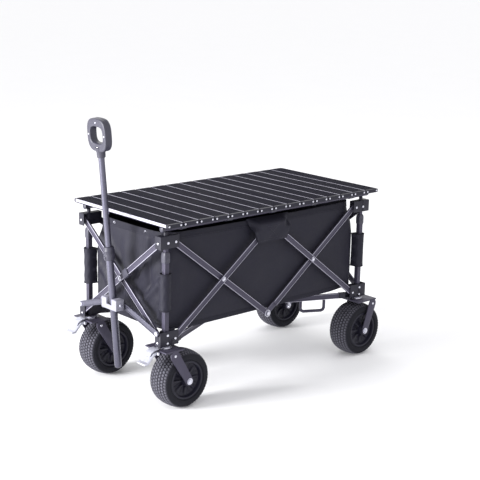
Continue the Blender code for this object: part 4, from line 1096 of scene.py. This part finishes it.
class WAGON_OT_handle(bpy.types.Operator):
    """Pull pole, its pivot block and arms, the collar and the two-shell grip"""
    bl_idname = "wagon.handle"
    bl_label = "Pull handle"

    def execute(self, context):
        tilt = pin("handle_tilt")
        lean = np.array(JOINTS["handle_extend"]["axis"], float)
        forward = unit(np.cross(lean, (0, 1, 0)))
        self.arms(tilt)
        self.block(tilt)
        self.pole(tilt, lean, forward)
        self.grip(tilt, lean, forward)
        return {"FINISHED"}

    def arms(self, tilt):
        """A channel bar from each front post to the pivot block, with its rivet at the post."""
        pin_y = abs(pin("handle_block_pivot")[1])
        forwards = (-1, 0, 0)
        for side, sy in SIDES.items():
            name = "handle_arm_" + side
            start = pin(name + "_pivot")
            back, thick = face(name, 0, 1), extent(name)[0]
            channel_bar(name, (back, start[1], start[2]), (back, sy * pin_y, tilt[2]), forwards, thick,
                        material=lacquered_tube())
            rivets("arm_rivets_" + side, name, [(back - thick, start[1], start[2])], forwards,
                   0.0046, 0.0022, 0.0066)

    def block(self, tilt):
        """The pivot block with its cross bolt's heads and two rivets on its front."""
        softened("handle_block", block_nylon(), 0.0014)
        bolts = []
        for way in (-1, 1):
            at, out = (tilt[0], face("handle_block", 1, way), tilt[2]), (0, way, 0)
            front = (face("handle_block", 0, -1), way * 0.028, tilt[2] + 0.008)
            bolts += [lathe([(0, 0), (0.0068, 0), (0.0068, 0.0008), (0, 0.0009)], at, out, 22),
                      lathe(dome(0.0050, 0.0026, 0.0008), at, out, 14),
                      lathe(dome(0.0036, 0.0016), front, (-1, 0, 0), 12)]
        build("handle_block_bolts", bolts, [zinc_plate()], "handle_block")

    def pole(self, tilt, lean, forward):
        """The two packed tubes turned again with more sides, and the collar between them.

        Profiles are (radius, height along the pole from its pivot).
        """
        lower = lathe([(0.0, -0.205), (0.0070, -0.2040), (0.0098, -0.2015), (0.0110, -0.197),
                       (0.0110, 0.154), (0.0108, 0.1549), (0.0095, 0.1549), (0.0095, -0.19), (0, -0.19)],
                      tilt, lean, 40)
        trunnions = [lathe([(0, 0.0), (0.004, 0.0), (0.004, 0.0180), (0, 0.0180)],
                           tilt + (0, way * 0.0102, 0), (0, way, 0), 20) for way in (-1, 1)]
        build("handle_lower_finished", [lower, *trunnions], [lacquered_tube()], "handle_pole",
              replaces=["handle_lower_tube"])
        upper = lathe([(0.0074, 0.456), (0.0090, 0.456), (0.0090, 0.112), (0.0074, 0.112)], tilt, lean,
                      36, wrap_rows=True)
        build("handle_upper_finished", [upper], [lacquered_tube()], "handle_slide",
              replaces=["handle_upper_tube"])
        # collar: turned, with three shallow rings and a push button on its front
        rings = [(0.0096, 0.173), (0.0132, 0.173), (0.0146, 0.1716), (0.0152, 0.1695), (0.0152, 0.1650)]
        for h in (0.1620, 0.1580, 0.1540):
            rings += [(0.0165, h + 0.0010), (0.0165, h - 0.0010), (0.0158, h - 0.0015),
                      (0.0158, h - 0.0025)]
        rings += [(0.0165, 0.148), (0.0165, 0.1365), (0.0158, 0.134), (0.0114, 0.134),
                  (0.0114, 0.1553), (0.0096, 0.1554)]
        button = lathe([(0, 0), (0.0052, 0), (0.0052, 0.0012), (0.0040, 0.0022), (0, 0.0023)],
                       tilt + lean * 0.1425 + forward * 0.0160, forward, 20)
        build("handle_collar_finished", [lathe(rings, tilt, lean, 40, wrap_rows=True), button],
              [cap_plastic()], "handle_pole", replaces=["handle_collar"], sharp=50)

    def grip(self, tilt, lean, forward):
        """The grip: a ring between two superellipses |y/a|^3.2 + |z/b|^3.2 = 1, and its neck.

        The ring is flat before and behind, its edges are rounded over 3 mm, and a groove runs in
        the outer edge at the parting line of its two shells.
        """
        half_y, half_z, half_depth = 0.0435, 0.04725, 0.0120
        centre = tilt + lean * (GRIP_TOP - half_z)
        outline = superellipse(96, 0.625)
        outer, hole = outline * (half_y, half_z), outline * (0.029, 0.024)
        share = np.array([0.0, 0.03, 0.10, 0.20, 0.80, 0.91, 0.97, 1.0, 1.0, 0.975, 1.0, 1.0, 0.97,
                          0.91, 0.80, 0.20, 0.10, 0.03, 0.0, 0.0])
        deep = np.array([0.0090, 0.0106, 0.0117, 0.0120, 0.0120, 0.0116, 0.0106, 0.0090, 0.0008, 0.0,
                         -0.0008, -0.0090, -0.0106, -0.0116, -0.0120, -0.0120, -0.0117, -0.0106,
                         -0.0090, 0.0])
        flat = hole[:, None] + (outer - hole)[:, None] * share[None, :, None]
        points = (centre + flat[..., :1] * np.array([0, 1.0, 0]) + flat[..., 1:] * lean
                  + deep[None, :, None] * forward)
        ring = shell(points, wrap_rows=True, wrap_cols=True)
        neck = lathe([(0, 0.470), (0.0165, 0.466), (0.0150, 0.4575), (0.0128, 0.4520), (0.0126, 0.4420),
                      (0.0119, 0.4365), (0.0093, 0.4365), (0.0093, 0.4562), (0, 0.4562)], tilt, lean, 36)
        build("handle_grip_finished", [ring, neck], [cap_plastic()], "handle_slide",
              replaces=["handle_grip"], sharp=60)
        screws = []
        for way in (-1, 1):
            for a, b in ((0.0362, 0.0), (-0.0362, 0.0), (0.0, 0.0356), (0.0, -0.0356)):
                at = centre + np.array([0, a, 0]) + lean * b + forward * way * half_depth
                screws.append(lathe(dome(0.0026, 0.0010), at, forward * way, 12))
        build("grip_screws", screws, [zinc_plate()], "handle_slide")


# ---- bag ------------------------------------------------------------------------------------


def bag_point(q_share, z, along_x, hx, hy, low, high, proud=0.0):
    """Points of one bag wall and their outward directions.

    q_share runs -1..1 from one corner's middle to the other's. The plan is a rectangle with
    corner radius 12 mm, growing to 62 mm near the mouth and 18 mm near the bottom, so the
    distance along it is a straight stretch and an eighth of a circle at each end.
    """
    radius = 0.012 + 0.050 * smooth(z, high - 0.110, high - 0.005) + 0.006 * (1 - smooth(z, low, low + 0.05))
    straight = (hx if along_x else hy) - radius
    total = straight + radius * np.pi / 4
    q = q_share * total
    turn = np.clip(np.abs(q) - straight, 0, None) / radius
    first = np.clip(q, -straight, straight) + np.sign(q) * radius * np.sin(turn)
    second = (hy if along_x else hx) - radius + radius * np.cos(turn)
    normal = np.stack([np.sign(q) * np.sin(turn), np.cos(turn)], -1)
    return first + proud * normal[..., 0], second + proud * normal[..., 1], normal, q


def creases(q, z, lines):
    """Sum of ridges: each is depth*exp(-(distance to a segment / width)^2), fading past its ends."""
    total = np.zeros_like(q)
    for (q0, z0), (q1, z1), width, depth in lines:
        dq, dz = q1 - q0, z1 - z0
        length = math.hypot(dq, dz)
        t = ((q - q0) * dq + (z - z0) * dz) / length ** 2
        distance = ((q - q0) * -dz + (z - z0) * dq) / length
        fade = smooth(t, -0.15, 0.15) * (1 - smooth(t, 0.85, 1.15))
        total = total + depth * fade * (np.exp(-(distance / width) ** 2)
                                        - 0.5 * np.exp(-((distance - 1.6 * width) / width) ** 2))
    return total


class WAGON_OT_bag(bpy.types.Operator):
    """The cloth bag: four walls, a floor in four gores, hems, corner sleeves and top flaps"""
    bl_idname = "wagon.bag"
    bl_label = "Cloth bag"

    def execute(self, context):
        size = sizes()
        low, high = box("bag")
        hx, hy = (high[0] - low[0]) / 2, (high[1] - low[1]) / 2
        z0, z1 = low[2], high[2]
        depth = size.crease_depth
        keep_x, keep_y = 0.40, 0.33
        side_lines = [((-0.36, 0.47), (-0.22, 0.33), 0.020, 0.5), ((0.36, 0.47), (0.20, 0.34), 0.022, 0.5),
                      ((-0.30, 0.26), (-0.10, 0.30), 0.030, 0.5), ((0.02, 0.49), (0.06, 0.30), 0.030, 0.4),
                      ((0.20, 0.25), (0.34, 0.33), 0.026, 0.5), ((-0.06, 0.25), (0.02, 0.36), 0.030, -0.4),
                      ((0.30, 0.50), (0.345, 0.28), 0.016, 0.5), ((-0.34, 0.42), (-0.345, 0.27), 0.014, 0.5)]
        end_lines = [((-0.14, 0.49), (-0.05, 0.36), 0.012, 1.0), ((-0.10, 0.50), (-0.09, 0.34), 0.010, -0.7),
                     ((0.13, 0.49), (0.04, 0.37), 0.013, 1.0), ((-0.15, 0.38), (-0.07, 0.30), 0.012, 1.0),
                     ((-0.15, 0.30), (-0.13, 0.25), 0.011, 0.9), ((0.02, 0.46), (0.01, 0.27), 0.016, 0.7),
                     ((0.14, 0.36), (0.08, 0.28), 0.013, 0.9), ((-0.02, 0.33), (-0.10, 0.25), 0.011, -0.8),
                     ((0.15, 0.46), (0.152, 0.26), 0.010, 0.7), ((-0.155, 0.46), (-0.150, 0.28), 0.009, 0.7)]
        walls = [("left", True, -1, "root", side_lines, (1, 0, 0), (FRONT_X, -POST_Y, z0), keep_x),
                 ("right", True, 1, "post_fr", side_lines[::-1], (1, 0, 0), (FRONT_X, POST_Y, z0), keep_x),
                 ("front", False, -1, "root", end_lines, (0, 1, 0), (FRONT_X, -POST_Y, z0), keep_y),
                 ("rear", False, 1, "post_rl", end_lines[::-1], (0, 1, 0), (REAR_X, -POST_Y, z0), keep_y)]
        for name, along_x, sign, body, lines, axis, anchor, keep in walls:
            cols, rows = (150, 64) if along_x else (90, 64)
            share = np.linspace(-1, 1, cols)[None].repeat(rows, 0)
            up = np.linspace(0, 1, rows)[:, None].repeat(cols, 1)
            reach = hx if along_x else hy
            near = 1 - smooth(np.abs(np.abs(share) - 1) * reach, 0.0, 0.11)
            bottom = z0 + 0.0015 + 0.006 * near
            top = z1 - 0.0025 * (1 - share ** 2)
            z = bottom + up * (top - bottom)

            crease_scale, ripple, sag = (0.55, 0.0010, 0.0005) if along_x else (1.7, 0.0016, 0.0020)

            def wall(shares, heights, proud=0.0):
                """Points of this wall, and their distance along it: creases, ripples and a sag."""
                first, second, normal, q = bag_point(shares, heights, along_x, hx, hy, z0, z1, proud)
                loose = (smooth(np.abs(np.abs(shares) - 1), 0.0, 0.06) * smooth(heights, z0, z0 + 0.03)
                         * (1 - smooth(heights, z1 - 0.03, z1)))
                waves = np.sin(q * 31 + 2.0 * np.sin(heights * 23)) * np.sin(heights * 37 + 1.3)
                out = loose * (depth * crease_scale * creases(q, heights, lines) + ripple * waves
                               + sag * np.cos(shares * np.pi / 2)) - WALL_GAP
                first = first + out * normal[..., 0]
                second = second + out * normal[..., 1]
                if along_x:
                    return np.stack([MIDDLE_X + first, sign * second, heights], -1), q
                return np.stack([MIDDLE_X + sign * second, first, heights], -1), q

            points, q = wall(share, z)
            piece = build("bag_wall_" + name, [shell(points)], [bag_cloth()], body,
                          uv=np.stack([q, z], -1), merge=False,
                          replaces=["bag"] if name == "left" else ())
            thickness(piece, size.cloth_thickness)
            # hem: a folded tape over the mouth, its two edges turned in; binding along the bottom
            for label, h_low, h_high in (("mouth", 1 - size.hem_height / (z1 - z0), 1.0),
                                         ("bottom", -0.004, 0.040)):
                band = np.array([h_low, h_low, h_low + (h_high - h_low) * 0.5, h_high, h_high])
                lift = np.array([0.0004, 0.0012, 0.0014, 0.0012, -0.0010])
                heights = bottom[:1] + band[:, None] * (top - bottom)[:1]
                rows_of_band = [wall(share[:1], heights[i:i + 1], lift[i])[0] for i in range(5)]
                along = wall(share[:1], heights[:1])[1]
                tape = build("bag_hem_%s_%s" % (label, name), [shell(np.concatenate(rows_of_band))],
                             [binding_tape()], body, merge=False,
                             uv=np.stack([np.repeat(along, 5, 0), heights], -1))
                thickness(tape, 0.0010)
                # one row of stitches runs 1 % of the wall's height above the tape's lower edge
                seam = np.linspace(-0.985, 0.985, 300)
                foot = np.interp(seam, share[0], bottom[0])
                rise = np.interp(seam, share[0], (top - bottom)[0])
                line = wall(seam[None], (foot + (band[1] + 0.010) * rise)[None], 0.0022)[0][0]
                stitches = dashes("stitches_%s_%s" % (label, name), body, [line], 0.0042, 0.0030)
                for soft in (tape, stitches):
                    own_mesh(soft)
            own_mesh(piece)
        self.floor(hx, hy, z0)
        self.sleeves()
        self.flaps(z1, hy)
        self.eyelets(hx, z1)
        return {"FINISHED"}

    def floor(self, hx, hy, z0):
        """Four gores meeting at the middle, each with a faint cosine ripple and a lifted corner."""
        for corner in CORNERS:
            sx, sy = CORNERS[corner]
            u, v = np.meshgrid(np.linspace(0, 1, 36), np.linspace(0, 1, 24), indexing="ij")
            px = MIDDLE_X + sx * u * (hx - 0.0035)
            py = sy * v * (hy - 0.0035)
            corner_lift = 0.005 * smooth(u, 0.72, 1.0) * smooth(v, 0.45, 1.0)
            pz = z0 + 0.0030 + corner_lift + 0.0012 * np.cos(u * 9.0) * np.cos(v * 7.0)
            piece = build("bag_floor_" + corner, [shell(np.stack([px, py, pz], -1))], [bag_cloth()],
                          "floor_bar_" + corner, merge=False,
                          uv=np.stack([px, py], -1))
            thickness(piece, sizes().cloth_thickness)
            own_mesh(piece)

    def sleeves(self):
        """A drop-shaped tube of cloth from each bag corner round its post: a circle round the post
        joined by two nearly straight flanks to a fold at the bag."""
        ring, reach, fold_half = 0.0148, 0.0235, 0.0022
        low, high = LOWER_Z + SLEEVE_RISES[0], LOWER_Z + SLEEVE_RISES[1]
        heights = np.linspace(low, high, 22)[:, None]
        flare = 1 + 0.05 * np.abs((2 * heights - low - high) / (high - low)) ** 3
        turn = np.linspace(math.radians(112), math.radians(-112), 26)[:, None]
        for corner in CORNERS:
            sx, sy, x, y = corner_place(corner)
            inward = np.array([-sx, -sy]) / math.sqrt(2)
            side = np.array([-inward[1], inward[0]])
            arc = -np.cos(turn) * inward * ring + np.sin(turn) * side * ring
            tip, fold = inward * reach, side * fold_half
            section = np.concatenate([arc, [tip - fold, tip + fold]])
            count = len(section)
            wave = 1 + 0.035 * np.sin(heights * 160) * np.cos(np.arange(count) * 0.9)
            plan = section * (wave * flare)[..., None]
            run = np.concatenate([[0], np.cumsum(np.linalg.norm(np.diff(section, axis=0), axis=1))])
            holder = BODY_OF["lower_bracket_" + corner]
            piece = build("post_sleeve_" + corner,
                          [shell(spread_out(x + plan[..., 0], y + plan[..., 1], heights), wrap_cols=True)],
                          [bag_cloth()], holder, merge=False,
                          uv=np.stack(np.broadcast_arrays(run, heights), -1))
            thickness(piece, 0.0012)
            # a cuff, 8 % wider than the sleeve, hems each end
            wide = section * 1.0815
            bands = [shell([spread_out(x + wide[:, 0], y + wide[:, 1], z + rise)
                            for rise in (-0.0012, -0.0004, 0.0004, 0.0012)], wrap_cols=True)
                     for z in (low + 0.0005, high - 0.0005)]
            cuff = build("sleeve_hems_" + corner, bands, [binding_tape()], holder,
                         merge=False, uv=np.zeros((count * 8, 2)))
            thickness(cuff, 0.0016)

    def flaps(self, z1, hy):
        """A trapezoid flap over each long side's upper joint, stitched along its edges and crossed."""
        mouth, drop = hy - 0.001, 0.072
        for side, sy in SIDES.items():
            body = "root" if sy < 0 else "post_fr"
            over_links = abs(face("link_front_rising_" + side, 1, sy)) + 0.0062

            def half_width(v):
                """Half the flap's width, v of the way down."""
                return 0.086 - 0.026 * v

            def stand(u, v):
                """How far out it lies: a quarter sine from the mouth out over the links, and a ripple."""
                rise = np.sin(np.clip(v / 0.30, 0, 1) * np.pi / 2)
                return mouth + (over_links - mouth) * rise + 0.0012 * np.sin(u * 5 + v * 6) * v

            def spot(u, v):
                """A stitch's place on the flap's outer face."""
                return spread_out(MIDDLE_X + u * half_width(v), sy * (stand(u, v) + 0.0021),
                                  z1 + 0.002 - v * drop)

            u, v = np.meshgrid(np.linspace(-1, 1, 40), np.linspace(0, 1, 30), indexing="ij")
            px, pz = MIDDLE_X + u * half_width(v), z1 + 0.002 - v * drop
            out = stand(u, v)
            # its upper corners lie back against the wall
            back = 0.8 * smooth(np.abs(u), 0.6, 1.0) * (1 - smooth(v, 0.25, 0.55))
            out = out + (mouth - out) * back
            piece = build("joint_flap_" + side, [shell(np.stack([px, sy * out, pz], -1))], [bag_cloth()],
                          body, merge=False, uv=np.stack([px, pz], -1))
            thickness(piece, 0.0014)
            # rows of stitches: three edges, two diagonals, and the box's top and bottom
            line = np.linspace(0, 1, 200)
            crossing = -0.3 + 0.6 * line
            rows = [spot(-0.9 + line * 1.8, 0.93), spot(-0.92, 0.3 + line * 0.63),
                    spot(0.92, 0.3 + line * 0.63), spot(crossing, 0.36 + 0.5 * line),
                    spot(-crossing, 0.36 + 0.5 * line), spot(crossing, 0.36), spot(crossing, 0.86)]
            thread = dashes("flap_stitches_" + side, body, rows)
            for soft in (piece, thread):
                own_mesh(soft)

    def eyelets(self, hx, z1):
        """Turned eyelets in the end walls' hems: a rolled ring of 5 mm radius."""
        for name, sx, body in (("front", -1, "root"), ("rear", 1, "post_rl")):
            x = MIDDLE_X + sx * (hx - 0.0008)
            rolled = [(0.0024, 0.0), (0.0030, 0.0008), (0.0042, 0.0009), (0.0050, 0.0001),
                      (0.0042, -0.0006), (0.0030, -0.0006)]
            patches = [lathe(rolled, (x, y, z1 - 0.011), (sx, 0, 0), 20, wrap_rows=True)
                       for y in (-0.075, 0.075)]
            ring = build("eyelets_" + name, patches, [zinc_plate()], body)
            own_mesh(ring)


def thickness(piece, amount):
    """Gives cloth its wall, half of it on each side of its surface."""
    wall = piece.modifiers.new("cloth", "SOLIDIFY")
    wall.thickness = amount
    wall.offset = 0.0
    wall.use_even_offset = False
    graph = bpy.context.evaluated_depsgraph_get()
    made = bpy.data.meshes.new_from_object(piece.evaluated_get(graph))
    piece.modifiers.clear()
    old = piece.data
    piece.data = made
    made.name = old.name
    made.shade_smooth()
    made.set_sharp_from_angle(angle=math.radians(60))


def dashes(name, body, rows, length=0.0034, gap=0.0022, radius=0.00042):
    """Running stitches: along each row of points, short threads of `length` with gaps between."""
    patches = []
    for row in rows:
        run = np.concatenate([[0], np.cumsum(np.linalg.norm(np.diff(row, axis=0), axis=1))])
        starts = np.arange(0, run[-1] - length, length + gap)
        ends = starts[:, None] + np.array([0, 0.5, 1.0]) * length
        spots = np.stack([np.interp(ends, run, row[:, k]) for k in range(3)], -1)
        tangent = unit(spots[:, 2] - spots[:, 0])
        side = unit(np.cross(tangent, (0.3, 0.2, 1.0)))
        above = np.cross(tangent, side)
        ring = circle(1.0, 4)
        swell = np.array([0.4, 1.0, 0.4]) * radius
        round_it = (ring[:, 0, None] * side[:, None, None] + ring[:, 1, None] * above[:, None, None])
        points = spots[:, :, None] + swell[None, :, None, None] * round_it
        for one in points:
            patches.append(shell(one, wrap_cols=True))
    return build(name, patches, [stitch_thread()], body, merge=False)


# ---- panel and run --------------------------------------------------------------------------

PARTS = (WAGON_OT_stage, WAGON_OT_links, WAGON_OT_corners, WAGON_OT_floor_frame, WAGON_OT_table,
         WAGON_OT_wheels, WAGON_OT_handle, WAGON_OT_bag)


class WAGON_PT_parts(bpy.types.Panel):
    """Lists the wagon's pieces, sizes and colours"""
    bl_idname = "WAGON_PT_parts"
    bl_label = "Folding camp wagon"
    bl_space_type = "VIEW_3D"
    bl_region_type = "UI"
    bl_category = "Wagon"

    def draw(self, context):
        for part in PARTS:
            self.layout.operator(part.bl_idname)
        for group in (context.scene.wagon_sizes, context.scene.wagon_colours):
            column = self.layout.column()
            for name in group.__annotations__:
                column.prop(group, name)


CLASSES = (WagonSizes, WagonColours, *PARTS, WAGON_PT_parts)


def register():
    """Makes the classes known to Blender."""
    for kind in CLASSES:
        bpy.utils.register_class(kind)
    bpy.types.Scene.wagon_sizes = bpy.props.PointerProperty(type=WagonSizes)
    bpy.types.Scene.wagon_colours = bpy.props.PointerProperty(type=WagonColours)


def unregister():
    """Takes the classes away again."""
    del bpy.types.Scene.wagon_sizes
    del bpy.types.Scene.wagon_colours
    for kind in reversed(CLASSES):
        bpy.utils.unregister_class(kind)


def main():
    """Registers the classes and makes every piece in order."""
    register()
    bpy.ops.wagon.stage()
    bpy.ops.wagon.links()
    bpy.ops.wagon.corners()
    bpy.ops.wagon.floor_frame()
    bpy.ops.wagon.table()
    bpy.ops.wagon.wheels()
    bpy.ops.wagon.handle()
    bpy.ops.wagon.bag()


if __name__ == "__main__":
    main()
